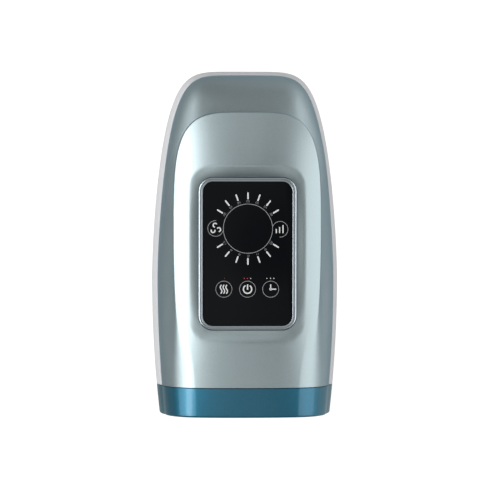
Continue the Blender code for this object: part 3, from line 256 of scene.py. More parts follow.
class Finish:
    """A material under construction: its tree, its Principled shader and the nodes added to it."""

    def __init__(self, name, colour, roughness, metallic=0.0, coat=0.0, coat_roughness=0.05, ior=1.45):
        self.material = bpy.data.materials.new(name)
        self.material.use_nodes = True
        self.tree = self.material.node_tree
        self.shader = self.tree.nodes["Principled BSDF"]
        self.shader.inputs["IOR"].default_value = ior
        self.shader.inputs["Coat Roughness"].default_value = coat_roughness
        self.feed("Base Color", colour)
        self.feed("Roughness", roughness)
        self.feed("Metallic", metallic)
        self.feed("Coat Weight", coat)
        self.material.diffuse_color = (*colour, 1.0)

    def feed(self, slot, value):
        plug(self.tree, self.shader.inputs[slot], value)

    def node(self, kind, settings=None, output=0, **sockets):
        """Adds a node: its settings first, then its sockets by name, with _ for a space or by _number."""
        made = self.tree.nodes.new("ShaderNode" + kind)
        for key, value in (settings or {}).items():
            setattr(made, key, value)
        for key, value in sockets.items():
            index = int(key[1:]) if key[0] == "_" and key[1:].isdigit() else key.replace("_", " ")
            plug(self.tree, made.inputs[index], value)
        return Wire(self.tree, made.outputs[output])

    def place(self):
        """Object coordinates, in metres."""
        return self.node("TexCoord", output="Object")

    def axes(self):
        """The x, y and z of the object coordinates as three wires."""
        split = self.tree.nodes.new("ShaderNodeSeparateXYZ")
        plug(self.tree, split.inputs[0], self.place())
        return [Wire(self.tree, split.outputs[k]) for k in range(3)]

    def noise(self, scale, detail=2.0, roughness=0.5, vector=None):
        """Noise from 0 to 1 whose cells are about 1 / scale metres wide."""
        return self.node(
            "TexNoise", output="Fac",
            Vector=vector or self.place(), Scale=scale, Detail=detail, Roughness=roughness,
        )

    def cells(self, scale, output="Distance"):
        """A cell pattern whose cells are about 1 / scale metres wide."""
        return self.node("TexVoronoi", output=output, Vector=self.place(), Scale=scale)

    def mix(self, share, first, second):
        """Goes from the first colour to the second as share goes from 0 to 1."""
        made = self.tree.nodes.new("ShaderNodeMix")
        made.data_type = "RGBA"
        plug(self.tree, made.inputs[0], share)
        plug(self.tree, made.inputs[6], first)
        plug(self.tree, made.inputs[7], second)
        return Wire(self.tree, made.outputs[2])

    def bump(self, height, distance, strength=1.0):
        """Tilts the shading by a height of 0 to 1 that stands for that distance in metres."""
        tilted = self.node("Bump", output="Normal", Height=height, Distance=distance, Strength=strength)
        self.feed("Normal", tilted)

    def done(self):
        print("finish:", self.material.name, "with", len(self.tree.nodes), "nodes")
        return self.material


print("Finish ready")

# %% [markdown]
# The camera looks almost straight down, as in the photograph: the hand opening is at the
# bottom of the picture, and a little of the left side shows. A long lens from far away keeps
# the sides nearly parallel. The camera's up direction follows the object's length.

# %% The camera
EYE = Vector((-0.051, -0.002, 1.6))
AIM = Vector((0.0003, -0.002, 0.033))
ALONG_BODY = Vector((0.0, 1.0, 0.0))
SENSOR_MM = 36.0
LENS_MM = 170.4


def aimed(eye, target, up):
    """A turn whose -Z points from eye to target and whose +Y is as near to up as it can be."""
    back = (eye - target).normalized()
    side = up.cross(back).normalized()
    over = back.cross(side)
    return Matrix((side, over, back)).transposed().to_4x4()


camera_data = bpy.data.cameras.new("camera")
camera_data.sensor_width = SENSOR_MM
camera_data.lens = LENS_MM
camera_data.clip_end = 20.0
camera = bpy.data.objects.new("camera", camera_data)
camera.matrix_world = Matrix.Translation(EYE) @ aimed(EYE, AIM, ALONG_BODY)
bpy.context.collection.objects.link(camera)
bpy.context.scene.camera = camera
bpy.context.scene.view_settings.view_transform = "Standard"
rise = math.degrees(math.atan2(EYE.z - AIM.z, AIM.x - EYE.x))
print("camera", round(rise, 1), "degrees above the left side")

# %% [markdown]
# The light is a plain studio: a tall soft lamp and a strip on the left, a weaker one on the
# right, and two low strips behind that touch the hood's corners. Metal paint shows what it
# reflects, so the room's level changes with direction: darker at the horizon and towards the
# right, brighter in front and behind, with a gap overhead where the camera stands. The camera
# itself sees a white backdrop and a white floor, and the floor still takes a soft shadow.

# %% The room
world = bpy.data.worlds.new("room")
bpy.context.scene.world = world
world.use_nodes = True
room = world.node_tree
rays = room.nodes.new("ShaderNodeLightPath")
heading = room.nodes.new("ShaderNodeTexCoord")
parts = room.nodes.new("ShaderNodeSeparateXYZ")
room.links.new(heading.outputs["Generated"], parts.inputs[0])
height = Wire(room, parts.outputs[2])
HORIZON_LEVEL = 0.12
OVERHEAD_LEVEL = 0.52
FRONT_LEVEL = 0.30
BACK_LEVEL = 0.34
RIGHT_SHARE = 0.55
CAMERA_GAP = 0.50
CAMERA_SIDE = 0.10
sideways = Wire(room, parts.outputs[0])
behind = Wire(room, parts.outputs[1])
ahead = 0.0 - behind
level = HORIZON_LEVEL + height.step(0.05, 0.95) * (OVERHEAD_LEVEL - HORIZON_LEVEL)
level = level + behind.step(0.1, 0.7) * height.step(0.12, 0.50) * BACK_LEVEL
level = level * (1.0 - sideways.step(-0.15, 0.40) * height.step(0.45, 0.85) * RIGHT_SHARE)
level = level + ahead.step(0.02, 0.34) * height.step(0.55, 0.90) * FRONT_LEVEL
off = (sideways - CAMERA_SIDE) * (sideways - CAMERA_SIDE) + behind * behind
level = level * (1.0 - (1.0 - off.step(0.008, 0.090)) * height.step(0.0, 0.1) * CAMERA_GAP)
seen = Wire(room, rays.outputs["Is Camera Ray"])
level = level + seen * (1.0 - level)
background = room.nodes["Background"]
background.inputs["Color"].default_value = (1.0, 1.0, 1.0, 1.0)
room.links.new(level.socket, background.inputs["Strength"])
print("room level", HORIZON_LEVEL, "at the horizon and", OVERHEAD_LEVEL, "overhead")

# %% [markdown]
# The floor has a dark grey paint of its own, which keeps the lamps' light from filling the
# shadow, and a white glow that only the camera and the metal see. Both rise from left to
# right, because the photographed flanks are dark on the left and paler on the right.

# %% The floor
FLOOR_REACH = 3.0
FLOOR_LEFT = (0.11, 0.11, 0.11)
FLOOR_RIGHT = (0.36, 0.36, 0.36)
RAMP_REACH = 0.35
FLOOR_WHITE = 0.88
FLOOR_WHITE_IN_METAL = 0.34
floor_finish = Finish("pale_floor", (0.25, 0.25, 0.25), 0.9)
to_right = floor_finish.axes()[0].step(-RAMP_REACH, RAMP_REACH)
floor_finish.feed("Base Color", floor_finish.mix(to_right, FLOOR_LEFT, FLOOR_RIGHT))
tree = floor_finish.tree
floor_rays = tree.nodes.new("ShaderNodeLightPath")
glow = tree.nodes.new("ShaderNodeEmission")
both = tree.nodes.new("ShaderNodeAddShader")
white = Wire(tree, floor_rays.outputs["Is Camera Ray"]) * FLOOR_WHITE
white = white + Wire(tree, floor_rays.outputs["Is Glossy Ray"]) * to_right * FLOOR_WHITE_IN_METAL
tree.links.new(white.socket, glow.inputs["Strength"])
tree.links.new(floor_finish.shader.outputs[0], both.inputs[0])
tree.links.new(glow.outputs[0], both.inputs[1])
tree.links.new(both.outputs[0], tree.nodes["Material Output"].inputs["Surface"])

floor_data = bpy.data.meshes.new("floor")
corners = [(x * FLOOR_REACH, y * FLOOR_REACH, 0) for x, y in ((-1, -1), (1, -1), (1, 1), (-1, 1))]
floor_data.from_pydata(corners, [], [(0, 1, 2, 3)])
floor = bpy.data.objects.new("floor", floor_data)
floor_data.materials.append(floor_finish.done())
bpy.context.collection.objects.link(floor)
print("floor", 2 * FLOOR_REACH, "m wide")

# %% [markdown]
# Each lamp is a rectangle, because a wide soft edge is what makes a highlight on metal paint
# fade out slowly. Their places were found from where the photographed highlights lie.

# %% The lamps
MIDDLE = Vector((0.0, 0.0, 0.05))


def lamp(name, place, width, height, power):
    """A soft rectangular lamp at a place, turned to the object's middle."""
    data = bpy.data.lights.new(name, "AREA")
    data.shape = "RECTANGLE"
    data.size = width
    data.size_y = height
    data.energy = power
    made = bpy.data.objects.new(name, data)
    place = Vector(place)
    made.matrix_world = Matrix.Translation(place) @ aimed(place, MIDDLE, ALONG_BODY)
    bpy.context.collection.objects.link(made)
    print(name, power, "W")


lamp("left_softbox", (-1.25, 0.00, 0.68), 1.30, 2.05, 16.6)
lamp("left_strip", (-1.20, 0.00, 0.90), 0.40, 2.05, 11.6)
lamp("right_softbox", (1.30, -0.10, 0.62), 1.20, 1.8, 13.0)
lamp("back_left_strip", (-1.15, 0.85, 0.13), 0.22, 0.9, 2.6)
lamp("back_right_strip", (1.20, 0.85, 0.13), 0.22, 0.9, 2.4)

# %% [markdown]
# Seen from above, the body is an outline: almost straight sides that draw in a little towards
# the opening, and a broad round back. It could be traced by hand, but a power curve goes from
# the side to the back without a kink, and can be drawn in again for each height and each wall.

# %% The outline from above
DENSE = 1200


def front_taper(y):
    """The share of the width left at y: one less a square of the distance ahead of the widest place."""
    lost = 1 - FRONT_WIDTH / BODY_WIDTH
    return 1 - lost * (np.clip(WIDEST_Y - y, 0, None) / (WIDEST_Y - FRONT_END_Y)) ** 2


def spread(points, count):
    """Points of a dense curve: each stretch has a like share of its length and its turning."""
    steps = np.diff(points, axis=0)
    length = np.hypot(steps[:, 0], steps[:, 1])
    heading = np.unwrap(np.arctan2(steps[:, 1], steps[:, 0]))
    turning = np.abs(np.diff(heading, prepend=heading[0]))
    measure = length / length.sum() + turning / turning.sum()
    travelled = np.concatenate([[0.0], np.cumsum(measure)])
    wanted = np.linspace(0, travelled[-1], count)
    return np.stack([np.interp(wanted, travelled, points[:, k]) for k in range(2)], axis=1)


def outline(inset, front_y, count):
    """Half the outline: the tapered side, then x to the power 5.8 plus y to the power 1.5 is one."""
    half = BODY_WIDTH / 2 - inset
    reach = BACK_END_Y - WIDEST_Y - inset
    front = np.linspace(front_y, WIDEST_Y, DENSE, endpoint=False)
    side = np.stack([half * front_taper(front), front], axis=1)
    angle = np.linspace(0, math.pi / 2, DENSE)
    across = half * np.cos(angle) ** (2 / SIDE_POWER)
    along = WIDEST_Y + reach * np.sin(angle) ** (2 / BACK_POWER)
    across[-1] = 0.0
    return spread(np.concatenate([side, np.stack([across, along], axis=1)]), count)


def belly_inset(z):
    """How far the lower shell is drawn in: a rounded bottom edge, and a slight square tuck on top."""
    below = np.clip(BELLY_HEIGHT - z, 0, None) / (BELLY_HEIGHT - FOOT_HEIGHT)
    above = np.clip(z - BELLY_HEIGHT, 0, None) / (PARTING_HEIGHT - BELLY_HEIGHT)
    rounded = 1 - (1 - below**BELLY_POWER) ** (1 / BELLY_POWER)
    return BELLY_TUCK * rounded + PARTING_TUCK * above**2


front, back = outline(0.0, FRONT_END_Y, 60)[[0, -1]] * 1000
print("outline from", front.round(1).tolist(), "to", back.round(1).tolist(), "mm")

# %% [markdown]
# Seen from the side, the saddle is a low dome that falls towards both ends, and a small step
# separates it from the flanks. The real shell is moulded from such curves, so the formulas of
# the solid are worked out here again, at about ten times its density.

# %% The saddle's edge, its height and its step
TAPER_POWER = 1.5
SADDLE_WIDTH = 0.0976
SADDLE_SIDE_POWER = 4.2
SADDLE_BACK_POWER = 4.0
SADDLE_BACK_Y = 0.085
SADDLE_FRONT_NARROWING = 0.005
CROWN_HEIGHT = 0.102
CROWN_Y = 0.030
FAN_Y = 0.020
FRONT_FALL = 0.0155
BACK_FALL = 0.0095
DOME_DROP = 0.013
DOME_DROP_LOST = 0.0065
DOME_POWER = 2.5
STEP_LEAST = 0.00015
STEP_SIDE = 0.0025
STEP_BACK = 0.002
STEP_FADE_Y = -0.092
STEP_FADE_LENGTH = 0.082
STEP_BACK_LENGTH = 0.055


def saddle_half_width(y):
    """Half the saddle's width: constant behind the middle, and a little narrower towards the front."""
    ahead = np.clip(-y, 0, None) / BACK_END_Y
    return SADDLE_WIDTH / 2 - SADDLE_FRONT_NARROWING * ahead**TAPER_POWER


def saddle_edge(rim):
    """The saddle's edge by each outline point: straight across in front, and along rays from the fan
    point behind."""
    angle = np.linspace(0, math.pi / 2, DENSE)
    across = SADDLE_WIDTH / 2 * np.cos(angle) ** (2 / SADDLE_SIDE_POWER)
    along = SADDLE_BACK_Y * np.sin(angle) ** (2 / SADDLE_BACK_POWER)
    across[-1] = 0.0
    bearing = np.arctan2(along - FAN_Y, across)
    ray = np.arctan2(rim[:, 1] - FAN_Y, rim[:, 0])
    behind = rim[:, 1] > FAN_Y
    x = np.where(behind, np.interp(ray, bearing, across), saddle_half_width(rim[:, 1]))
    y = np.where(behind, np.interp(ray, bearing, along), rim[:, 1])
    return np.stack([x, y], axis=1)


def saddle_height(x, y):
    """A middle line that falls as a square to both ends, less a dome's drop to the power 2.5 towards
    the sides."""
    ahead = np.clip(CROWN_Y - y, 0, None) / (CROWN_Y - FRONT_END_Y)
    after = np.clip(y - CROWN_Y, 0, None) / (SADDLE_BACK_Y - CROWN_Y)
    middle = CROWN_HEIGHT - FRONT_FALL * ahead**2 - BACK_FALL * after**2
    drop = DOME_DROP - DOME_DROP_LOST * (np.clip(-y, 0, None) / BACK_END_Y) ** TAPER_POWER
    return middle - drop * (np.abs(x) / saddle_half_width(y)) ** DOME_POWER


def step_height(y):
    """The step round the saddle: nearly none at the front, rising to the sides and again to the back."""
    side = STEP_SIDE * smooth((y - STEP_FADE_Y) / STEP_FADE_LENGTH)
    return STEP_LEAST + side + STEP_BACK * smooth((y - CROWN_Y) / STEP_BACK_LENGTH)


print("crown", round(float(saddle_height(0.0, CROWN_Y)) * 1000, 2), "mm high")

# %% [markdown]
# The black panel lies in a scoop of the saddle, tilted a little up towards the back. A
# rounded rectangle is the basis of the panel, the silver frame and the scoop, so one helper
# gives its signed distance, and another gives it as a ring of points.

# %% The panel's plane and its rounded rectangles
PANEL_SIZE = (0.058, 0.0935)
PANEL_CORNER = 0.0065
PANEL_Y = -0.00775
PANEL_HEIGHT = 0.0940
PANEL_RISE = 0.0040
PANEL_TILT = math.atan2(PANEL_RISE, PANEL_SIZE[1])
PANEL_THICKNESS = 0.0032
BEZEL_WIDTH = 0.0026
BEZEL_PROUD = 0.0006
BEZEL_SIZE = tuple(side + 2 * (GAP + BEZEL_WIDTH) for side in PANEL_SIZE)
BEZEL_CORNER = PANEL_CORNER + GAP + BEZEL_WIDTH
PANEL_PLACE = Matrix.Translation((0.0, PANEL_Y, PANEL_HEIGHT)) @ Matrix.Rotation(PANEL_TILT, 4, "X")


def on_panel(points):
    """Points in the panel's own plane, moved to their place on the object."""
    turn = np.array(PANEL_PLACE.to_3x3())
    return points @ turn.T + np.array(PANEL_PLACE.translation)


def rounded_distance(x, y, width, length, corner):
    """How far a point lies outside a rounded rectangle, and less than zero inside it."""
    dx = np.abs(x) - (width / 2 - corner)
    dy = np.abs(y) - (length / 2 - corner)
    outside = np.hypot(np.clip(dx, 0, None), np.clip(dy, 0, None))
    return outside + np.clip(np.maximum(dx, dy), None, 0) - corner


def rounded_ring(width, length, corner, height, steps=20, centre=(0.0, 0.0)):
    """A rounded rectangle as a ring of points: four quarter circles joined by straight sides."""
    turn = np.linspace(0, math.pi / 2, steps)
    rings = []
    for k, (sx, sy) in enumerate(((1, 1), (-1, 1), (-1, -1), (1, -1))):
        angle = turn + k * math.pi / 2
        x = sx * (width / 2 - corner) + corner * np.cos(angle) + centre[0]
        y = sy * (length / 2 - corner) + corner * np.sin(angle) + centre[1]
        rings.append(np.stack([x, y, np.full(steps, height)], axis=1))
    return np.concatenate(rings)


print("panel tilt", round(math.degrees(PANEL_TILT), 2), "degrees")

# %% [markdown]
# The scoop's walls rise from the frame to the saddle. A plain blend of the two heights leaves
# a soft, shapeless dent, so a cubic curve is used: it has a height and a slope at each end,
# and the slopes decide how flat the wall leaves the frame and how crisp the border is.

# %% The scoop round the panel
SCOOP_WIDTH = 0.0066
SCOOP_END_WIDTH = 0.0075
FRAME_SLOPE = 0.03
END_SLOPES = (1.3, 0.75)
PROBE = 1e-4


def leaving(x, y, width, length, corner):
    """The direction straight away from a rounded rectangle, as two unit arrays."""
    over_x = np.clip(np.abs(x) - (width / 2 - corner), 0, None)
    over_y = np.clip(np.abs(y) - (length / 2 - corner), 0, None)
    far = np.maximum(np.hypot(over_x, over_y), 1e-9)
    return np.sign(x) * over_x / far, np.sign(y) * over_y / far


def plane_height(y):
    """The height of the panel's plane at y."""
    return PANEL_HEIGHT + (y - PANEL_Y) * math.tan(PANEL_TILT)


def saddle_surface(x, y):
    """The dome with its scoop.

    Between the frame (s = 0) and the border (s = 1) a cubic goes from the plane's height to the dome's
    height. Its slope at the frame is FRAME_SLOPE on the sides and 1.3 times the mean rise on the ends. At
    the border it is the dome's own slope on the sides, and 0.75 of the mean rise on the ends, which leaves
    a crease there."""
    along = (y - PANEL_Y) / math.cos(PANEL_TILT)
    away = rounded_distance(x, along, *BEZEL_SIZE, BEZEL_CORNER)
    out_x, out_y = leaving(x, along, *BEZEL_SIZE, BEZEL_CORNER)
    ends = smooth(np.clip(np.abs(out_y), 0, 1))
    width = SCOOP_WIDTH + (SCOOP_END_WIDTH - SCOOP_WIDTH) * ends
    s = np.clip(away / width, 0, 1)
    ahead = width - away
    border_x, border_y = x + out_x * ahead, y + out_y * ahead
    low = plane_height(y - out_y * away)
    high = saddle_height(border_x, border_y)
    beyond = saddle_height(border_x + out_x * PROBE, border_y + out_y * PROBE)
    rise = high - low
    first = (FRAME_SLOPE * width) * (1 - ends) + END_SLOPES[0] * rise * ends
    last = (beyond - high) / PROBE * width * (1 - ends) + END_SLOPES[1] * rise * ends
    cubic = low * (1 - s) ** 2 * (1 + 2 * s) + first * s * (1 - s) ** 2
    cubic = cubic + high * s**2 * (3 - 2 * s) - last * s**2 * (1 - s)
    return np.where(away <= 0, plane_height(y), np.where(away < width, cubic, saddle_height(x, y)))


depth = saddle_height(0.0, PANEL_Y) - plane_height(PANEL_Y)
print("the panel's middle lies", round(float(depth) * 1000, 2), "mm under the crown line")

# %% [markdown]
# The flank is the shell's side between the parting line and the saddle. Its curve leaves the
# parting line almost upright and leans over towards the step, steeply at the sides and less so
# at the back. A Bezier curve gives exactly that: two ends, and a handle for each direction.

# %% The flank's curve
FLANK_SIDE_SLOPE = math.radians(66)
FLANK_BACK_SLOPE = math.radians(38)
FLANK_HANDLE = 0.35
FLANK_LEAN = 0.06
FLANK_LIFT = 0.50


def flank(rim, edge, foot):
    """The cubic curve's four control points per column, from the rim up to the step's foot."""
    reach = edge - rim
    climb = foot - PARTING_HEIGHT
    width = np.linalg.norm(reach, axis=1)
    turn = smooth(np.arctan2(np.clip(rim[:, 1] - FAN_Y, 0, None), rim[:, 0]) / (math.pi / 2))
    slope = FLANK_SIDE_SLOPE + (FLANK_BACK_SLOPE - FLANK_SIDE_SLOPE) * turn
    handle = FLANK_HANDLE * np.hypot(width, climb)
    first = np.column_stack([rim + reach * FLANK_LEAN, PARTING_HEIGHT + climb * FLANK_LIFT])
    back = reach * (handle * np.cos(slope) / width)[:, None]
    second = np.column_stack([edge - back, foot - handle * np.sin(slope)])
    start = np.column_stack([rim, np.full(len(rim), PARTING_HEIGHT)])
    return start, first, second, np.column_stack([edge, foot])


def bezier(controls, t):
    """A point on a Bezier curve of three or four control points, weighted by powers of s and t."""
    s = 1 - t
    if len(controls) == 3:
        weights = (s * s, 2 * s * t, t * t)
    else:
        weights = (s**3, 3 * s * s * t, 3 * s * t * t, t**3)
    return sum(w * c for w, c in zip(weights, controls))


slopes = [round(math.degrees(slope)) for slope in (FLANK_SIDE_SLOPE, FLANK_BACK_SLOPE)]
print("flank", slopes[0], "degrees at the sides and", slopes[1], "at the back")

# %% [markdown]
# The top shell's surface is one sheet. Each column starts at the parting line, climbs the
# flank, rises over the saddle's step and runs on across the saddle to the middle. The step has
# a crisp foot and a rounded top, which is what gives the real shell its bright line.

# %% The upper housing's surface
STEP_RUN = 0.0011
RISE_SHARE = 0.25
REST_SHARE = 0.75
RISE_POWER = 1.6
ROUND_START_Y = -0.015
ROUND_REACH = 0.009


def upper_sheet(wall, front_y, columns, flank_rows, turn_rows, saddle_rows, surface):
    """Half the top shell as rows by columns: the flank, the turn over the step, and the saddle.

    The flank is a cubic curve. Over the turn a point follows two paths with one share: the flank's end,
    the step's rise of 1 - (1 - t) cubed and the saddle's start, and a plain rounding between the same
    two ends. Towards the front it goes from the first path to the second, as the real step dies out."""
    rim = outline(PARTING_TUCK + wall, front_y, columns)
    edge = saddle_edge(rim)
    middle = np.column_stack([np.zeros(columns), np.minimum(edge[:, 1], FAN_Y)])
    outward = edge - middle
    edge = edge - outward / np.linalg.norm(outward, axis=1, keepdims=True) * wall
    edge[-1, 0] = 0.0
    step = step_height(edge[:, 1])
    top = saddle_height(edge[:, 0], edge[:, 1]) - wall
    controls = flank(rim, edge, top - step)
    inward = (middle - edge) / np.linalg.norm(middle - edge, axis=1, keepdims=True)
    span = np.linalg.norm(middle - edge, axis=1)[:, None]
    fade = smooth((ROUND_START_Y - edge[:, 1]) / (ROUND_START_Y - SEAM_Y))[:, None]
    reach = STEP_RUN + ROUND_REACH * fade
    begin = 1 - reach / np.linalg.norm(controls[3] - controls[0], axis=1)[:, None]

    def on_saddle(away):
        plan = edge + inward * away
        return np.column_stack([plan, surface(plan[:, 0], plan[:, 1]) - wall])

    rows = [bezier(controls, begin * t) for t in np.linspace(0, 1, flank_rows)]
    corner = np.column_stack([edge, top])
    rounding = (rows[-1], corner, on_saddle(STEP_RUN + reach))
    for share in np.linspace(0, 1, turn_rows + 1)[1:]:
        if share < RISE_SHARE:
            stepped = bezier(controls, begin + (1 - begin) * share / RISE_SHARE)
        elif share < REST_SHARE:
            t = ((share - RISE_SHARE) / (REST_SHARE - RISE_SHARE)) ** RISE_POWER
            stepped = on_saddle(STEP_RUN * t)
            stepped[:, 2] -= step * (1 - t) ** 3
        else:
            stepped = on_saddle(STEP_RUN + reach * (share - REST_SHARE) / (1 - REST_SHARE))
        rows.append(stepped + (bezier(rounding, share) - stepped) * fade)
    for t in np.linspace(0, 1, saddle_rows + 1)[1:]:
        rows.append(on_saddle(STEP_RUN + reach + (span - STEP_RUN - reach) * t))
    return np.array(rows)


print("sheets ready, with a step of up to", round((STEP_SIDE + STEP_BACK) * 1000, 1), "mm")

# %% [markdown]
# A sheet becomes a solid when it is mirrored and its open sides are closed, and a stack of
# rings when both ends are. Solids can then be cut from each other and fused, as a designer
# does with a moulding. The exact solver keeps the thin walls clean.

# %% Solids from sheets and rings


def mirrored_body(name, half, finish, open_top=False, body="chassis"):
    """A closed solid: half a sheet and its mirror image, with a flat front, bottom and top."""
    rows = len(half)
    other = half[:, ::-1][:, 1:] * (-1, 1, 1)
    points = np.concatenate([half, other], axis=1)
    wide = points.shape[1]
    faces = grid_faces(rows, wide)
    faces.append(list(range(wide))[::-1])
    front = [r * wide for r in range(rows)]
    back = [r * wide + wide - 1 for r in range(rows)]
    if open_top:
        faces.append(front + back[::-1])
        faces.append([(rows - 1) * wide + k for k in range(wide)])
    else:
        faces.append(front + back[::-1][1:])
    return mesh_piece(name, points, faces, finish, body)


def cut(target, *others, operation="DIFFERENCE"):
    """Takes the other solids away from a solid and leaves one clean mesh."""
    for other in others:
        step = target.modifiers.new("cut", "BOOLEAN")
        step.operation = operation
        step.solver = "EXACT"
        step.object = other
    return settle(target, others)


def fuse(target, *others):
    """Adds other solids to a solid and leaves one clean mesh."""
    return cut(target, *others, operation="UNION")


def settle(target, used=()):
    """Bakes a piece's modifiers into its mesh and removes the pieces that they used."""
    depsgraph = bpy.context.evaluated_depsgraph_get()
    baked = bpy.data.meshes.new_from_object(target.evaluated_get(depsgraph))
    target.modifiers.clear()
    old = target.data
    target.data = baked
    bpy.data.meshes.remove(old)
    baked.shade_smooth()
    baked.set_sharp_from_angle(angle=math.radians(SHARP))
    for other in used:
        bpy.data.objects.remove(other)
    return target


def ring_body(name, rings, finish, body="chassis", place=None):
    """A solid from a stack of rings with flat ends, moved to the panel's plane on request."""
    points = np.array(rings)
    if place:
        points = place(points)
    rows, columns = points.shape[:2]
    faces = grid_faces(rows, columns, wrap_columns=True)
    faces.append(list(range(columns))[::-1])
    faces.append([(rows - 1) * columns + k for k in range(columns)])
    return mesh_piece(name, points, faces, finish, body)


print("solids ready, sharp over", SHARP, "degrees")

# %% [markdown]
# The shell's paint is a silver lacquer with a cold green-grey tint. Tiny metal flakes lie in
# it at slightly different angles, so close up it sparkles, and from a distance it only
# softens what it reflects. The flakes here are a cell pattern a quarter of a millimetre wide
# that shifts the colour and tilts the surface a little. On the shell, a painted shade also
# darkens the colour against the panel's frame, where the recess lies in shadow.

# %% Metallic paints
# The reach and the near-black colour of a shade painted into the shell's colour round the panel's frame.
SHADE_START, SHADE_END = -0.0005, 0.0050
SHADE_FRONT, SHADE_FULL = -0.052, -0.030
PAINTED_SHADE_COLOUR = (0.02, 0.03, 0.035)


def painted_recess_shade(paint):
    """The share of painted shade in the paint's colour: 1 against the panel's frame and 0 from 5 mm
    on, by the distance to its rounded rectangle. It fades out towards the front, where the recess faces
    the light."""
    x, y = paint.axes()[:2]
    y = y - PANEL_Y
    over_x = (x.abs() - (BEZEL_SIZE[0] / 2 - BEZEL_CORNER)).least_zero()
    over_y = (y.abs() - (BEZEL_SIZE[1] / 2 - BEZEL_CORNER)).least_zero()
    away = (over_x * over_x + over_y * over_y) ** 0.5 - BEZEL_CORNER
    return (1.0 - away.step(SHADE_START, SHADE_END)) * y.step(SHADE_FRONT, SHADE_FULL)


def flake_paint(name, colour, roughness, metallic, flakes, coat, edge, shade=0.0):
    """A lacquer with flakes: each cell is a little lighter or darker, rougher or smoother, and tilted.

    flakes is how far the shade varies, edge the tint at a glancing angle, and shade the strength
    of the shadow painted into the colour round the recess."""
    paint = Finish(name, colour, roughness, metallic, coat, coat_roughness=0.16)
    paint.shader.inputs["Specular Tint"].default_value = (*edge, 1.0)
    flake = paint.cells(3600.0, "Color")
    grey = paint.node("SeparateColor", output=0, Color=flake)
    mottle = paint.noise(45.0, 3.0, 0.55)
    tone = paint.mix((grey * 0.7 + mottle * 0.3).clamp(), *shades(colour, flakes))
    if shade:
        # Painted shade: the colour darkens towards a near black against the panel's frame.
        tone = paint.mix(painted_recess_shade(paint) * shade, tone, PAINTED_SHADE_COLOUR)
    paint.feed("Base Color", tone)
    paint.feed("Roughness", roughness + (grey - 0.5) * 0.10 + (mottle - 0.5) * 0.06)
    paint.bump(grey * 0.6 + mottle * 0.4, 0.00001, 0.35)
    return paint.done()


# The shell's paint carries the painted shade round the panel's frame, at 0.42 of its full strength.
shell_paint = flake_paint(
    "teal_silver_paint", (0.352, 0.421, 0.437), 0.42, 0.92,
    flakes=0.10, coat=0.12, edge=(0.45, 0.70, 0.85), shade=0.42,
)
band_paint = flake_paint(
    "teal_blue_paint", (0.011, 0.124, 0.200), 0.43, 0.90, flakes=0.18, coat=0.78, edge=(0.52, 0.87, 0.83)
)
pale_paint = flake_paint(
    "pale_silver_paint", (0.66, 0.67, 0.68), 0.45, 0.35, flakes=0.05, coat=0.10, edge=(1.0, 1.0, 1.0)
)

# %% [markdown]
# The upper housing is cut out of solids like a moulding: the outer body, less an inner body
# drawn in by the wall, less a pocket and a window for the panel, whose bed stays inside.

# %% The upper housing
SHELL_FRONT_Y = SEAM_Y + GAP
COLUMNS = 190
OVERRUN = 0.004
BED_THICKNESS = 0.0023
BED_TOP = -PANEL_THICKNESS - GAP
BED_BOTTOM = BED_TOP - BED_THICKNESS
BED_MARGIN = (0.020, 0.024)
BED_SHIFT = (0.0, 0.002)
POCKET_TOP = 0.01
WINDOW_MARGIN = 0.008

sheet = upper_sheet(0.0, SHELL_FRONT_Y, COLUMNS, 28, 20, 76, saddle_surface)
upper = mirrored_body("upper_shell", sheet, shell_paint)
inner = upper_sheet(WALL, SHELL_FRONT_Y - OVERRUN, 40, 12, 8, 14, saddle_height)
skirt = inner[:1] - np.array((0.0, 0.0, OVERRUN))
cavity = mirrored_body("cavity", np.concatenate([skirt, inner]), shell_paint, body=None)


def panel_block(name, size, grow, corner, low, high, steps=8, centre=(0.0, 0.0)):
    """A rounded block across the panel's plane: a size grown on both sides, between two heights."""
    sides = size[0] + grow[0], size[1] + grow[1]
    rings = [rounded_ring(*sides, corner, z, steps, centre) for z in (low, high)]
    return ring_body(name, rings, shell_paint, None, on_panel)


bed_ceiling = CROWN_HEIGHT - PANEL_HEIGHT + OVERRUN
bed = panel_block("bed", BEZEL_SIZE, BED_MARGIN, BEZEL_CORNER, BED_BOTTOM, bed_ceiling, centre=BED_SHIFT)
cut(cavity, bed)
pocket = panel_block("pocket", BEZEL_SIZE, (2 * GAP, 2 * GAP), BEZEL_CORNER + GAP, BED_TOP, POCKET_TOP, 16)
shrink = (-WINDOW_MARGIN, -WINDOW_MARGIN)
window = panel_block("window", PANEL_SIZE, shrink, PANEL_CORNER, BED_BOTTOM - OVERRUN, BED_TOP + OVERRUN)
cut(upper, cavity, pocket, window)
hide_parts("upper_housing")
print("upper shell:", len(upper.data.polygons), "faces")

# %% [markdown]
# The bottom shell's side is the same outline again at each height, drawn in where the bottom
# edge is round. Screw wells, holes and windows are plain rods and blocks that get cut from it,
# and their places are read from the boxes of the nodes that sit in them.

# %% Rods, blocks and the lower sheet


def box_middle(node):
    """The lowest and highest corner of a node's box, and the x and y of its middle."""
    low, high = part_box(node)
    return low, high, (low[0] + high[0]) / 2, (low[1] + high[1]) / 2


def lower_sheet(wall, front_y, columns, heights):
    """Half the bottom shell's side: the outline at each height, drawn in by the belly's formula."""
    rows = []
    for z in heights:
        plan = outline(float(belly_inset(z)) + wall, front_y, columns)
        rows.append(np.column_stack([plan, np.full(columns, z)]))
    return np.array(rows)


def levels(low, high, count):
    """Heights from low to high, closer together at the rounded bottom edge."""
    return low + (high - low) * np.linspace(0, 1, count) ** 1.5


def rod_body(name, radius, low, high, x, y, finish, sides=40):
    """An upright cylinder: the same circle at two heights."""
    angle = np.linspace(0, 2 * math.pi, sides, endpoint=False)
    ring = np.stack([x + radius * np.cos(angle), y + radius * np.sin(angle)], axis=1)
    rings = [np.column_stack([ring, np.full(sides, z)]) for z in (low, high)]
    return ring_body(name, rings, finish, None)


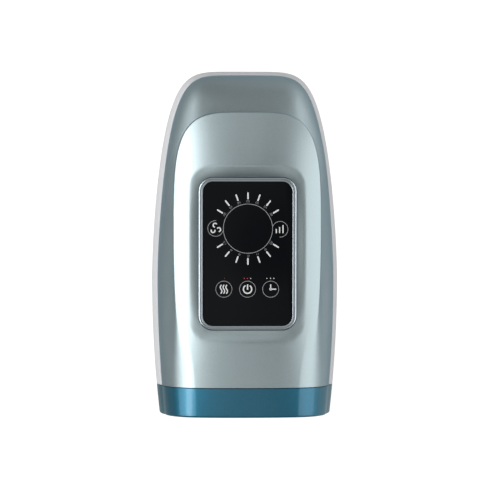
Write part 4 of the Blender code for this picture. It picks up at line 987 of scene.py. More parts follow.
def block_body(name, low, high, finish):
    """A plain box between two corners, used only to cut or to join."""
    (x0, y0, z0), (x1, y1, z1) = low, high
    ring = np.array([(x0, y0), (x1, y0), (x1, y1), (x0, y1)])
    return ring_body(name, [np.column_stack([ring, np.full(4, z)]) for z in (z0, z1)], finish, None)


print("lower sheet, rods and blocks ready")

# %% [markdown]
# The lower housing is cut like the upper one: an outer body less an inner one, then the wells
# of the four screws, the feet's pockets and the window for the charging socket.

# %% The lower housing
WELL_GAP = 0.0004
HOLE_RADIUS = 0.0018
CUT_LOW = -0.001
FOOT_SINK = 0.001

lower = mirrored_body(
    "lower_shell",
    lower_sheet(0.0, SHELL_FRONT_Y, COLUMNS, levels(FOOT_HEIGHT, PARTING_HEIGHT - GAP, 44)),
    pale_paint, open_top=True,
)
inner_levels = np.append(levels(FOOT_HEIGHT + WALL, PARTING_HEIGHT, 10), PARTING_HEIGHT + OVERRUN)
inner = lower_sheet(WALL, SHELL_FRONT_Y - OVERRUN, 40, inner_levels)
cavity = mirrored_body("cavity", inner, pale_paint, open_top=True, body=None)
cut(lower, cavity)
cutters = []
for k in (1, 2, 3, 4):
    low, high, x, y = box_middle(f"housing_screw_{k}")
    radius = (high[0] - low[0]) / 2 + WELL_GAP
    cutters.append(rod_body("well", radius, CUT_LOW, FOOT_HEIGHT + WALL / 2, x, y, pale_paint))
    cutters.append(rod_body("hole", HOLE_RADIUS, CUT_LOW, FOOT_HEIGHT + WALL + GAP, x, y, pale_paint, 20))
    low, high, x, y = box_middle(f"rubber_foot_{k}")
    radius = (high[0] - low[0]) / 2 + GAP
    cutters.append(rod_body("pocket", radius, CUT_LOW, FOOT_HEIGHT + FOOT_SINK, x, y, pale_paint, 56))
low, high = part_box("charging_socket")
start = (low[0] - GAP, low[1] - OVERRUN, low[2] - GAP)
stop = (high[0] + GAP, BACK_END_Y + OVERRUN, high[2] + GAP)
cutters.append(block_body("window", start, stop, pale_paint))
cut(lower, *cutters)
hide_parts("lower_housing")
print("lower shell:", len(lower.data.polygons), "faces")

# %% [markdown]
# Two sections recur at the opening: the body's outside, with belly, flank, step and saddle in
# one curve, and the hand tunnel's inside, a rounded box. Both are taken at the same bearings
# from the middle, so that any two rings of points can be joined face by face.

# %% Sections of the body and the tunnel
TUNNEL_WIDTH = 0.102
TUNNEL_LOW = 0.010
TUNNEL_HIGH = 0.076
TUNNEL_WALL = 0.002
TUNNEL_POWER = 4.2
BASE_STEPS = 30


def even_ring(points, count):
    """A closed ring taken anew at even steps of its bearing from the section's middle."""
    middle = np.array((0.0, (TUNNEL_LOW + TUNNEL_HIGH) / 2))
    bearing = np.unwrap(np.arctan2(points[:, 2] - middle[1], points[:, 0]))
    order = np.argsort(bearing)
    wanted = np.linspace(-math.pi, math.pi, count, endpoint=False)
    x = np.interp(wanted, bearing[order], points[order, 0], period=2 * math.pi)
    z = np.interp(wanted, bearing[order], points[order, 2], period=2 * math.pi)
    return np.stack([x, np.full(count, points[0, 1]), z], axis=1)


def body_ring(y, wall, count=360):
    """The body's whole outer section at y, drawn in by a wall: belly, flank, step and saddle."""
    heights = np.linspace(FOOT_HEIGHT + wall, PARTING_HEIGHT, 90)
    taper = front_taper(y)
    half = (BODY_WIDTH / 2 - belly_inset(heights) - wall) * taper
    side = np.column_stack([half, np.full(len(heights), y), heights])
    sheet = upper_sheet(wall, y, 40, 60, 24, 60, saddle_height)[:, 0]
    right = np.concatenate([side, sheet[1:]])
    right[:, 1] = y
    flat = np.linspace(0, half[0], BASE_STEPS)[:-1]
    base = np.column_stack([flat, np.full(len(flat), y), np.full(len(flat), heights[0])])
    right = np.concatenate([base, right])
    left = right[1:-1][::-1] * (-1, 1, 1)
    return even_ring(np.concatenate([right, left]), count)


def tunnel_ring(y, wall, shrink=1.0, count=360):
    """The hand tunnel's section: x and z each to the power 4.2 adding up to one, drawn in by a wall."""
    angle = np.linspace(0, 2 * math.pi, 4 * count, endpoint=False)
    bend = 2 / TUNNEL_POWER
    half_width = (TUNNEL_WIDTH / 2 - wall) * shrink
    half_height = ((TUNNEL_HIGH - TUNNEL_LOW) / 2 - wall) * shrink
    x = half_width * np.sign(np.cos(angle)) * np.abs(np.cos(angle)) ** bend
    z = half_height * np.sign(np.sin(angle)) * np.abs(np.sin(angle)) ** bend
    ring = np.column_stack([x, np.full(len(angle), y), (TUNNEL_LOW + TUNNEL_HIGH) / 2 + z])
    return even_ring(ring, count)


def loop_body(name, rings, finish, body="chassis"):
    """A ring-shaped solid: rings of points in order round its profile, the last joined to the first."""
    points = np.array(rings)
    rows, columns = points.shape[:2]
    return mesh_piece(name, points, grid_faces(rows, columns, True, True), finish, body)


print("tunnel", TUNNEL_WIDTH * 1000, "mm wide and", round((TUNNEL_HIGH - TUNNEL_LOW) * 1000), "mm high")

# %% [markdown]
# The band round the opening is one moulded ring in a deeper blue. Its outside continues the
# two shells, its front edge is rounded, and its flat face has the mouth in it. A boolean would
# leave ragged edges there, so it is a single profile carried round the opening.

# %% The front band
RIM_FACE = 0.0027
RIM_EDGE = 0.0012
RIM_LIP = 0.0008
RIM_SEAM_EDGE = 0.0003
RIM_SEAM_RUN = 0.002

rings = [body_ring(SEAM_Y, RIM_SEAM_EDGE), body_ring(SEAM_Y - RIM_SEAM_EDGE, 0.0)]
for y in np.linspace(SEAM_Y - RIM_SEAM_RUN, FRONT_END_Y + RIM_EDGE, 10):
    rings.append(body_ring(y, 0.0))
for turn in np.linspace(0, math.pi / 2, 6)[1:]:
    back, drawn = RIM_EDGE * (1 - math.sin(turn)), RIM_EDGE * (1 - math.cos(turn))
    rings.append(body_ring(FRONT_END_Y + back, drawn))
for turn in np.linspace(0, math.pi / 2, 5):
    back, drawn = RIM_LIP * (1 - math.cos(turn)), RIM_LIP * (1 - math.sin(turn))
    rings.append(tunnel_ring(FRONT_END_Y + back, TUNNEL_WALL - drawn))
rings.append(tunnel_ring(FRONT_END_Y + RIM_FACE, TUNNEL_WALL))
rings.append(body_ring(FRONT_END_Y + RIM_FACE, WALL))
rings.append(body_ring(SEAM_Y, WALL))
band = loop_body("opening_band", rings, band_paint)
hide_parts("front_rim")
print("band:", len(band.data.polygons), "faces")

# %% [markdown]
# A bright silver frame holds the glass. In the photograph it shows as two thin light lines
# with a darker channel between them, so its profile has two rounded ridges.

# %% The silver frame and the glass
silver = Finish("silver_trim", (0.38, 0.43, 0.46), 0.32, 0.95, 0.1)
silver.feed("Roughness", 0.27 + silver.noise(900.0, 3.0) * 0.08)
silver_finish = silver.done()


def inset_ring(size, corner, inset, height):
    """A rounded rectangle drawn in by an inset on all sides, at a height over the glass."""
    return rounded_ring(size[0] - 2 * inset, size[1] - 2 * inset, corner - inset, height, 18)


W = BEZEL_WIDTH
P = BEZEL_PROUD
profile = [
    (0.0, -PANEL_THICKNESS), (0.0, P - 0.00055), (0.00005, P - 0.00045), (0.00055, P - 0.00004),
    (0.0007, P), (0.00095, P - 0.0001), (0.0011, P - 0.00045), (0.00155, P - 0.00045),
    (0.0017, P - 0.0001), (0.00195, P), (W - 0.0003, P), (W - 0.00005, P - 0.00015),
    (W, P - 0.0004), (W, -PANEL_THICKNESS),
]
rings = [on_panel(inset_ring(BEZEL_SIZE, BEZEL_CORNER, inset, height)) for inset, height in profile]
bezel = loop_body("panel_frame", rings, silver_finish)
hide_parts("panel_bezel")

black = Finish("black_glass", (0.003, 0.0035, 0.0045), 0.06, 0.0, 0.0, ior=1.5)
black.shader.inputs["Specular IOR Level"].default_value = 0.09
black.feed("Roughness", 0.05 + black.noise(60.0, 2.0) * 0.03)
glass_finish = black.done()
GLASS_EDGE = 0.0005
profile = [
    (0.0, -PANEL_THICKNESS), (0.0, -GLASS_EDGE), (0.2 * GLASS_EDGE, -0.35 * GLASS_EDGE), (GLASS_EDGE, 0.0)
]
rings = [inset_ring(PANEL_SIZE, PANEL_CORNER, inset, height) for inset, height in profile]
glass = ring_body("panel_glass", rings, glass_finish, place=on_panel)
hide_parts("touch_panel")
print("frame and glass:", len(bezel.data.polygons), "and", len(glass.data.polygons), "faces")

# %% [markdown]
# The glass is printed from below with thin light lines: a dial of fourteen marks round a
# ring, two keys beside it and three keys under it. On the real panel the print lights up
# when a key is touched. Each line here is a ribbon: a path in the panel's plane, given half
# its width to both sides and a thickness of a few hundredths of a millimetre, with round
# ends. The ribbons of one kind are joined into one piece.

# %% Printed lines as ribbons
PRINT_TOP = 0.00005
PRINT_FOOT = -0.00002
CAP_START = 0.12


def arc(centre, radius, start, stop, count=40):
    """Points on a circle from one bearing to another, in degrees anticlockwise."""
    angle = np.radians(np.linspace(start, stop, count))
    return np.stack([centre[0] + radius * np.cos(angle), centre[1] + radius * np.sin(angle)], axis=1)


def ribbon(path, width, closed=False):
    """A flat bar along a path: points half a width to each side of it, by the path's own normal."""
    path = np.asarray(path, float)
    if closed:
        ahead = np.roll(path, -1, axis=0) - np.roll(path, 1, axis=0)
        half = np.full(len(path), width / 2)
    else:
        first = path[0] + (path[0] - path[1]) / np.linalg.norm(path[1] - path[0]) * width / 2
        last = path[-1] + (path[-1] - path[-2]) / np.linalg.norm(path[-1] - path[-2]) * width / 2
        turn = np.linspace(CAP_START, math.pi / 2, 5)[:-1]
        share, lead = np.sin(turn), 1 - np.cos(turn)
        head = first + (path[0] - first) * lead[:, None]
        tail = path[-1] + (last - path[-1]) * (1 - lead[::-1, None])
        path = np.concatenate([head, path, tail])
        half = np.concatenate([share, np.ones(len(path) - 8), share[::-1]]) * width / 2
        ahead = np.gradient(path, axis=0)
    normal = np.stack([-ahead[:, 1], ahead[:, 0]], axis=1) / np.linalg.norm(ahead, axis=1)[:, None]
    left, right = path + normal * half[:, None], path - normal * half[:, None]
    sides = (left, PRINT_FOOT), (right, PRINT_FOOT), (right, PRINT_TOP), (left, PRINT_TOP)
    corners = [np.column_stack([side, np.full(len(path), height)]) for side, height in sides]
    return np.stack(corners, axis=1), closed


def print_body(name, ribbons, finish):
    """Ribbons of four corners a station, closed at their ends and joined into one piece on the glass."""
    points, faces = [], []
    for stations, closed in ribbons:
        start = sum(len(p) for p in points)
        count = len(stations)
        faces += grid_faces(count, 4, closed, True, start)
        if not closed:
            faces += [(start + 3, start + 2, start + 1, start)]
            faces += [tuple(start + 4 * (count - 1) + k for k in range(4))]
        points.append(on_panel(stations.reshape(-1, 3)))
    return mesh_piece(name, np.concatenate(points), faces, finish, sharp=20.0)


def mark_finish(name, colour, glow):
    """Printed ink: a pale colour with a screen print's faint unevenness, lit a little from below."""
    ink = Finish(name, colour, 0.45)
    grain = ink.noise(2500.0, 2.0)
    light = tuple(min(c * 1.12, 1.0) for c in colour)
    dark = tuple(c * 0.86 for c in colour)
    ink.feed("Base Color", ink.mix(grain, dark, light))
    ink.shader.inputs["Emission Color"].default_value = (*colour, 1.0)
    ink.shader.inputs["Emission Strength"].default_value = glow
    return ink.done()


# %% [markdown]
# All places on the print are in millimetres from the panel's middle. The lines come in three
# strengths, because the marks and symbols are bolder than the rings, and the figures faintest.

# %% The dial and the keys
MM = 0.001
THIN_LINE = 0.30 * MM
ICON_LINE = 0.75 * MM
POWER_LINE = 0.85 * MM
bright_ink = mark_finish("bright_print", (0.58, 0.59, 0.59), 0.06)
dim_ink = mark_finish("dim_print", (0.26, 0.27, 0.28), 0.03)
faint_ink = mark_finish("faint_print", (0.22, 0.23, 0.24), 0.02)

DIAL_CENTRE = (0.2 * MM, 16.4 * MM)
DIAL_RADIUS = 16.0 * MM
MARK_STEP = 19.5
bearings = [90 + side * 180 + k * MARK_STEP for side in (0, 1) for k in range(-3, 4)]
marks = [
    ribbon([arc(DIAL_CENTRE, r, b, b, 1)[0] for r in (19.5 * MM, 23.1 * MM)], 0.95 * MM)
    for b in bearings
]
print_body("dial_marks", marks, bright_ink)

rings = [ribbon(arc(DIAL_CENTRE, DIAL_RADIUS, 0, 357, 120), 0.34 * MM, True)]
LEFT_KEY, RIGHT_KEY = (-20.8 * MM, 16.5 * MM), (21.1 * MM, 16.0 * MM)
rings.append(ribbon(arc(LEFT_KEY, 5.1 * MM, 88, 345, 60), THIN_LINE))
rings.append(ribbon(arc(RIGHT_KEY, 5.1 * MM, -92, 165, 60), THIN_LINE))
LOWER_KEYS = [(-15.4 * MM, -23.0 * MM), (0.0, -23.0 * MM), (15.05 * MM, -23.0 * MM)]
rings += [ribbon(arc(key, 5.25 * MM, 0, 354, 60), THIN_LINE, True) for key in LOWER_KEYS]
print_body("key_rings", rings, dim_ink)

print("dial and keys drawn with", len(marks) + len(rings), "ribbons")

# %% [markdown]
# The symbols on the keys are common ones: a fan for the mode, bars for the strength, waves
# for heat, the power sign and a clock. Each is a few strokes from its key's own centre.

# %% The key symbols
icons = []
for turn in (100, 220, 340):
    hub = arc(LEFT_KEY, 2.15 * MM, turn, turn, 1)[0]
    icons.append(ribbon(arc(hub, 1.25 * MM, turn + 150, turn - 55, 16), 0.80 * MM))
for x, top in ((-2.45, 0.1), (-0.35, 1.35), (1.9, 2.6)):
    foot = (RIGHT_KEY[0] + x * MM, RIGHT_KEY[1] - 2.2 * MM)
    icons.append(ribbon([foot, (foot[0], RIGHT_KEY[1] + (top - 0.2) * MM)], ICON_LINE))
along = np.linspace(-2.6 * MM, 2.6 * MM, 24)
for x in (-1.8, 0.0, 1.8):
    wave = LOWER_KEYS[0][0] + x * MM - 0.55 * MM * np.sin(along / (2.6 * MM) * math.pi)
    icons.append(ribbon(np.stack([wave, LOWER_KEYS[0][1] + along], axis=1), ICON_LINE))
power = LOWER_KEYS[1]
icons.append(ribbon(arc(power, 2.7 * MM, 128, 412, 40), POWER_LINE))
icons.append(ribbon([power, (power[0], power[1] + 2.8 * MM)], POWER_LINE))
clock = LOWER_KEYS[2]
icons.append(ribbon([clock, (clock[0], clock[1] + 2.9 * MM)], ICON_LINE))
icons.append(ribbon([clock, (clock[0] + 3.3 * MM, clock[1])], ICON_LINE))
icons.append(ribbon(arc(clock, 0.45 * MM, 0, 330, 12), 0.9 * MM, True))
print_body("key_symbols", icons, bright_ink)
print("symbols drawn with", len(icons), "ribbons")

# %% [markdown]
# Between the ring and the marks stand tiny figures, one for each mark, each square to its own
# spoke of the dial. They are plain numbers from 01 to 14 here, built from the seven strokes of
# a pocket calculator's digits.

# %% The dial's numbers and the indicator lamps
STROKES = {
    "a": ((0, 2), (1, 2)), "b": ((1, 2), (1, 1)), "c": ((1, 1), (1, 0)), "d": ((0, 0), (1, 0)),
    "e": ((0, 0), (0, 1)), "f": ((0, 1), (0, 2)), "g": ((0, 1), (1, 1)),
}
DIGITS = ("abcdef", "bc", "abged", "abgcd", "fgbc", "afgcd", "afgedc", "abc", "abcdefg", "abcdfg")
DIGIT_HEIGHT = 1.10 * MM
DIGIT_WIDTH = 0.72 * MM
DIGIT_PITCH = 1.55 * DIGIT_WIDTH
DIGIT_LINE = 0.16 * MM
FIGURE_RADIUS = 17.75 * MM
LAMP_RADIUS = 0.34 * MM


def number_ribbons(number, bearing):
    """The strokes of a number, its middle 17.75 mm from the dial's centre, and upright for the reader."""
    up = np.array((math.cos(math.radians(bearing)), math.sin(math.radians(bearing))))
    if up[1] < 0:
        up = -up
    right = np.array((up[1], -up[0]))
    middle = arc(DIAL_CENTRE, FIGURE_RADIUS, bearing, bearing, 1)[0]
    made = []
    for k, digit in enumerate(f"{number:02d}"):
        shift = (k - 0.5) * DIGIT_PITCH
        for stroke in DIGITS[int(digit)]:
            ends = [
                middle + right * (shift + (x - 0.5) * DIGIT_WIDTH) + up * (y - 1) * DIGIT_HEIGHT / 2
                for x, y in STROKES[stroke]
            ]
            made.append(ribbon(ends, DIGIT_LINE))
    return made


clockwise = sorted(bearings, key=lambda b: (-b - 130) % 360)
figures = [r for k, b in enumerate(clockwise) for r in number_ribbons(k + 1, b)]
print_body("dial_numbers", figures, faint_ink)


def dot(centre, radius):
    """A round lamp window: a short ribbon that turns round the centre."""
    return ribbon(arc(centre, radius / 2, 0, 330, 12), radius, True)


LAMP_Y = -16.0 * MM
red_lamp = mark_finish("red_indicator", (0.36, 0.035, 0.030), 0.35)
dim_lamp = mark_finish("dim_indicator", (0.10, 0.02, 0.018), 0.10)
white_dots = [dot((x * MM, LAMP_Y), LAMP_RADIUS) for x in (2.0, 12.6, 14.95, 17.1)]
print_body("white_indicators", white_dots, bright_ink)
print_body("red_indicators", [dot((x * MM, LAMP_Y), LAMP_RADIUS) for x in (-2.15, -0.1)], red_lamp)
print_body("heat_indicator", [dot((-15.05 * MM, LAMP_Y), 0.32 * MM)], dim_lamp)
print("figures:", len(figures), "strokes")

# %% [markdown]
# The hand lies between soft pads. On the real object each is a thin foam plate in a close
# woven grey cover, sewn with channels across, and pushed by an air cell behind it. A cushion
# is made here as two faces that meet in a seam: each face is a set of outlines that shrink
# from the seam to the middle, while their height follows a rounded edge and a low crown.

# %% The cover's weave and the cells' film
WEAVE_PITCH = 0.0010


def woven_cover():
    """A plain weave: sines along x and y, half a millimetre apart, that take turns at being on top."""
    cover = Finish("pad_skin", (0.10, 0.11, 0.12), 0.86)
    x, y = cover.axes()[:2]
    pitch = 2 * math.pi / WEAVE_PITCH
    warp = (x * pitch).sine()
    weft = (y * pitch).sine()
    over = (warp * weft) * 0.5 + 0.5
    worn = cover.noise(70.0, 4.0, 0.6)
    fuzz = cover.noise(2600.0, 3.0, 0.7)
    shade = (over * 0.55 + worn * 0.25 + fuzz * 0.20).clamp()
    cover.feed("Base Color", cover.mix(shade, (0.055, 0.060, 0.066), (0.155, 0.168, 0.182)))
    cover.feed("Roughness", 0.80 + fuzz * 0.15)
    cover.shader.inputs["Sheen Weight"].default_value = 0.35
    cover.shader.inputs["Sheen Roughness"].default_value = 0.4
    cover.bump(over * 0.7 + fuzz * 0.3, 0.00018, 0.7)
    return cover.done()


def cell_film():
    """Milky welded film: cloudier in some places, a little glossy, with a fine embossed grain."""
    film = Finish("air_cell_film", (0.55, 0.55, 0.52), 0.38, coat=0.25, coat_roughness=0.25)
    cloud = film.noise(60.0, 4.0, 0.6)
    grain = film.cells(1500.0)
    film.feed("Base Color", film.mix(cloud, (0.46, 0.46, 0.43), (0.63, 0.63, 0.60)))
    film.feed("Roughness", 0.30 + cloud * 0.18)
    film.bump(grain, 0.00006, 0.5)
    return film.done()


cover_finish = woven_cover()
film_finish = cell_film()

# %% [markdown]
# A cushion could be a box with a subdivision surface, but then its edge would only be as round
# as the box allows. Worked out from the seam, its edge, crown and relief each have a formula.

# %% A cushion from its seam
EDGE_POWERS = (9, 0.4)
RELIEF_POWER = 8
ROW_POWER = 0.85


def even_outline(width, length, corner, count):
    """A rounded rectangle taken at even steps of its own length."""
    ring = rounded_ring(width, length, corner, 0.0, 30)[:, :2]
    ring = np.concatenate([ring, ring[:1]])
    run = np.concatenate([[0.0], np.cumsum(np.hypot(*np.diff(ring, axis=0).T))])
    wanted = np.linspace(0, run[-1], count, endpoint=False)
    return np.stack([np.interp(wanted, run, ring[:, k]) for k in range(2)], axis=1)


def cushion(
    name, size, corner, y_middle, heights, crowns, reliefs, finish, pinch=0.014, rows=34, count=280
):
    """Two faces that meet in a seam. Each face stands off the seam by its reach times a rounded edge,
    1 less r to the power 9, all to the power 0.4, plus its crown times 1 less r squared and its relief."""
    low, seam, high = heights
    ring = even_outline(*size, corner, count)
    ring = ring * (1 - pinch * (1 - (2 * ring[:, ::-1] / np.array(size)[::-1]) ** 2))
    r = (np.sin(np.linspace(0, 1, rows + 1)[1:] * math.pi / 2) ** ROW_POWER)[:, None]
    x, y = ring[:, 0] * r, ring[:, 1] * r
    rounded = np.clip(1 - r ** EDGE_POWERS[0], 0, None) ** EDGE_POWERS[1]
    inside = np.clip(1 - r**RELIEF_POWER, 0, 1)
    zero = np.zeros((1, 1))
    sheets = []
    for reach, crown, relief, way in zip((high - seam, seam - low), crowns[::-1], reliefs[::-1], (1, -1)):
        z = seam + way * (reach * rounded + (crown * (1 - r**2) + relief(x, y)) * inside)
        sheets.append(np.stack([x, y + y_middle, z], axis=2))
        pole = seam + way * (reach + crown + float(relief(zero, zero)[0, 0]))
        sheets.append(np.array([[[0.0, y_middle, pole]]]))
    top, top_pole, under, under_pole = [sheet.reshape(-1, 3) for sheet in sheets]
    points = np.concatenate([top, under[:-count], top_pole, under_pole])
    faces = [tuple(reversed(f)) for f in grid_faces(rows, count, False, True)]
    start = rows * count
    faces += grid_faces(rows - 1, count, False, True, start)
    last_top, last_low = (rows - 1) * count, start + (rows - 2) * count
    pole_top, pole_low = len(points) - 2, len(points) - 1
    for k in range(count):
        m = (k + 1) % count
        faces.append((last_top + k, last_top + m, last_low + m, last_low + k))
        faces.append((k, m, pole_top))
        faces.append((start + m, start + k, pole_low))
    return mesh_piece(name, points, faces, finish, None, sharp=60.0)


def plain(x, y):
    """No relief."""
    return np.zeros_like(x)


def channels(places, depth, width):
    """Channels sewn across y: a dip of that depth at each place, falling off as a bell of that width."""

    def relief(x, y):
        return -depth * sum(np.exp(-(((y - place) / width) ** 2)) for place in places)

    return relief


print("cushion helpers ready")

# %% [markdown]
# Two pads come down on the back of the hand, and each rides on its own body so that it moves
# with its slide. The lower one carries soft massage nodes under the palm and rides on a third.

# %% The three pads
PAD_SIZE = (0.066, 0.062)
LOWER_PAD_SIZE = (0.066, 0.126)
PAD_CORNER = 0.010
PAD_HEIGHTS = (0.0620, 0.0634, 0.0646)
LOWER_PAD_HEIGHTS = (0.0176, 0.0193, 0.0208)
PALM_Y, FINGER_Y, LOWER_Y = -0.053, 0.013, -0.020
SEWN_REACH = 0.0186
SEWN_DEPTH = 0.0011
NODE_PITCH = 0.018
NODE_HEIGHT = 0.0020
NODE_REACH = 0.0056
NODE_SLOPE = 0.0038
GROOVE = 0.0008


def massage_nodes(x, y):
    """Soft bumps on a grid of 3 by 6: full height within 1.8 mm of each centre, none beyond 5.6 mm,
    with shallow sewn grooves that run between the columns."""
    across = np.abs(((x / NODE_PITCH + 0.5) % 1.0) - 0.5) * NODE_PITCH
    along = np.abs(((y / NODE_PITCH) % 1.0) - 0.5) * NODE_PITCH
    inside = (np.abs(x) < 1.5 * NODE_PITCH) & (np.abs(y) < 3.0 * NODE_PITCH)
    far = np.hypot(across, along)
    bump = NODE_HEIGHT * smooth((NODE_REACH - far) / NODE_SLOPE) * inside
    lines = NODE_PITCH / 2, -NODE_PITCH / 2
    return bump - GROOVE * sum(np.exp(-(((x - line) / GROOVE) ** 2)) for line in lines)


sewn = channels(np.linspace(-SEWN_REACH, SEWN_REACH, 4), SEWN_DEPTH, SEWN_DEPTH)
upper_pad = dict(size=PAD_SIZE, heights=PAD_HEIGHTS, crowns=(0.0006, 0.0002), reliefs=(sewn, plain))
lower_pad = dict(
    size=LOWER_PAD_SIZE, heights=LOWER_PAD_HEIGHTS, crowns=(0.0, 0.0002), reliefs=(plain, massage_nodes),
    pinch=0.008, rows=60, count=460,
)
for name, body, y_middle, form in (
    ("upper_palm", "palm_press", PALM_Y, upper_pad),
    ("upper_finger", "finger_press", FINGER_Y, upper_pad),
    ("lower", "palm_rest", LOWER_Y, lower_pad),
):
    pad = cushion(name + "_cushion", corner=PAD_CORNER, y_middle=y_middle, finish=cover_finish, **form)
    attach(pad, body)
    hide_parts(name + "_pad")
    thick = np.ptp([v.co.z for v in pad.data.vertices]) * 1000
    print(pad.name, len(pad.data.polygons), "faces,", round(float(thick), 2), "mm thick")

# %% [markdown]
# Behind each pad lies an air cell of welded film. It is drawn full: two sheets meet in a seam
# half way up, and a grid of weld points holds them together.

# %% The air cells
WELD_PITCH = 0.014
WELD_SHARPNESS = 9.0


def weld_points(depth):
    """Dimples on a square grid: the depth times e to the power of minus 9 times the sines squared."""

    def relief(x, y):
        waves = np.sin(math.pi * x / WELD_PITCH) ** 2 + np.sin(math.pi * y / WELD_PITCH) ** 2
        return -depth * np.exp(-WELD_SHARPNESS * waves)

    return relief


common = dict(corner=0.012, pinch=0.01, finish=film_finish)
upper_cell = dict(
    size=(0.060, 0.056), heights=(0.0662, 0.0690, 0.0717), crowns=(0.0009, 0.0009),
    reliefs=(weld_points(0.0007),) * 2,
)
lower_cell = dict(
    size=(0.060, 0.120), heights=(0.0136, 0.0148, 0.0160), crowns=(0.0002, 0.0002),
    reliefs=(weld_points(0.0004),) * 2,
)
for name, body, y_middle, form, fixed_z, moving_z in (
    ("upper_palm", "palm_press", PALM_Y, upper_cell, 0.0727, 0.0652),
    ("upper_finger", "finger_press", FINGER_Y, upper_cell, 0.0727, 0.0652),
    ("lower", "palm_rest", LOWER_Y, lower_cell, 0.0133, 0.0163),
):
    bladder = cushion(name + "_bladder", y_middle=y_middle, **common, **form)
    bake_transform(bladder)
    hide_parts(name + "_cell")
    print(bladder.name, len(bladder.data.polygons), "faces, between the chassis and", body)


# %% [markdown]
# Unpainted mouldings carry a fine grain, which sparks leave on the steel of the mould. One
# recipe makes three of them: grey for the liner and the battery holder, white for the pump's
# head and the valve block, and black rubber for the feet and the pump's cradle.

# %% The moulded plastics


def moulding(name, colour, roughness, grain=0.00005, mottle=0.06):
    """Unpainted plastic: a spark-eroded grain with a faint change of shade."""
    made = Finish(name, colour, roughness, ior=1.47)
    spark = made.noise(2200.0, 3.0, 0.65)
    broad = made.noise(45.0, 3.0, 0.5)
    made.feed("Base Color", made.mix((broad * 0.7 + spark * 0.3).clamp(), *shades(colour, mottle)))
    made.feed("Roughness", (roughness - 0.06) + spark * 0.12)
    made.bump(spark, grain, 0.6)
    return made.done()


grey_moulding = moulding("grey_moulding", (0.30, 0.31, 0.32), 0.55)
white_moulding = moulding("white_moulding", (0.70, 0.70, 0.68), 0.45, 0.00003, 0.03)
black_rubber = moulding("black_rubber", (0.030, 0.030, 0.031), 0.85, 0.00008, 0.25)

# %% [markdown]
# The tunnel liner is the frame between the two housings: the tunnel round the hand, a shelf
# behind it for the pump, and four bosses that take the screws. It is a skin between two stacks
# of rings, and its fingertip end turns in on a quarter circle. The shelf and the bosses are
# fused to it, and the screws' holes are cut last, so that they go through everything.

# %% The tunnel, the shelf and the screw bosses
LINER_END_Y = 0.0570
LINER_ROUND = 0.0120
BOSS_RADIUS = 0.0042
SHELF_START, SHELF_STOP = (-0.037, LINER_END_Y - 0.0008), (0.037, 0.101)
SHELF_LOW, SHELF_HIGH, SHELF_EDGE = 0.0435, 0.0457, 0.0004
SHELF_CORNER = 0.003
SCREWS = [f"housing_screw_{k}" for k in (1, 2, 3, 4)]


def liner_rings(wall, front_y):
    """The liner's rings from the front to its end: straight, then drawn in on a quarter circle."""
    end = LINER_END_Y - wall
    straight = np.linspace(front_y, end - LINER_ROUND, 36)
    rings = [tunnel_ring(y, wall) for y in straight]
    for turn in np.linspace(0, math.pi / 2, 12)[1:]:
        shrink = 1 - LINER_ROUND * (1 - math.cos(turn)) / (TUNNEL_WIDTH / 2)
        rings.append(tunnel_ring(end - LINER_ROUND * (1 - math.sin(turn)), wall, shrink))
    return rings


liner_front = FRONT_END_Y + RIM_FACE + GAP
skin = liner_rings(0.0, liner_front)[::-1] + liner_rings(TUNNEL_WALL, liner_front)
liner = ring_body("hand_tunnel_liner", skin, grey_moulding)
joined = []
for screw in SCREWS:
    low, high, x, y = box_middle(screw)
    foot, top = FOOT_HEIGHT + WALL + GAP, TUNNEL_LOW + TUNNEL_WALL / 2
    joined.append(rod_body("boss", BOSS_RADIUS, foot, top, x, y, grey_moulding, 56))
(x0, y0), (x1, y1) = SHELF_START, SHELF_STOP
round_end = 2 * SHELF_CORNER
heights = SHELF_LOW, SHELF_LOW + SHELF_EDGE, SHELF_HIGH - SHELF_EDGE, SHELF_HIGH
shelf_rings = []
for inset, z in zip((SHELF_EDGE, 0, 0, SHELF_EDGE), heights):
    centre = (0.0, (y0 + y1 - round_end - inset) / 2)
    ring = rounded_ring(x1 - x0 - 2 * inset, y1 - y0 + round_end - inset, SHELF_CORNER, z, 10, centre)
    ring[:, 1] = np.maximum(ring[:, 1], y0)
    shelf_rings.append(ring)
joined.append(ring_body("shelf", shelf_rings, grey_moulding, None))
fuse(liner, *joined)
holes = []
for screw in SCREWS:
    low, high, x, y = box_middle(screw)
    holes.append(rod_body("hole", HOLE_RADIUS, 0.0, high[2] + GAP, x, y, grey_moulding, 32))
cut(liner, *holes)
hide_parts("tunnel_liner")
print("liner:", len(liner.data.polygons), "faces")

# %% [markdown]
# Each valve has a small spring that pushes its plunger back up. It is drawn as a wire wound
# on a helix whose end turns lie flat.

# %% The valve springs
SPRING_RADIUS = 0.00205
SPRING_WIRE = 0.00030
SPRING_TURNS = 5.0


def turned_metal(name, colour, roughness, tone=0.10, fine=900.0):
    """Bare metal with fine machining marks across z, and a soft change of tone and shine."""
    made = Finish(name, colour, roughness, metallic=1.0)
    x, y, z = made.axes()
    ring = made.noise(fine, 2.0, 0.5, made.node("CombineXYZ", X=x * 0.05, Y=y * 0.05, Z=z))
    broad = made.noise(220.0, 3.0, 0.6)
    shade = (ring * 0.6 + broad * 0.4).clamp()
    made.feed("Base Color", made.mix(shade, *shades(colour, tone)))
    made.feed("Roughness", (roughness - 0.05) + shade * 0.12)
    made.bump(ring, 0.00002, 0.3)
    return made.done()


steel = turned_metal("turned_steel", (0.55, 0.56, 0.57), 0.30)
brass = turned_metal("turned_brass", (0.65, 0.48, 0.22), 0.33)


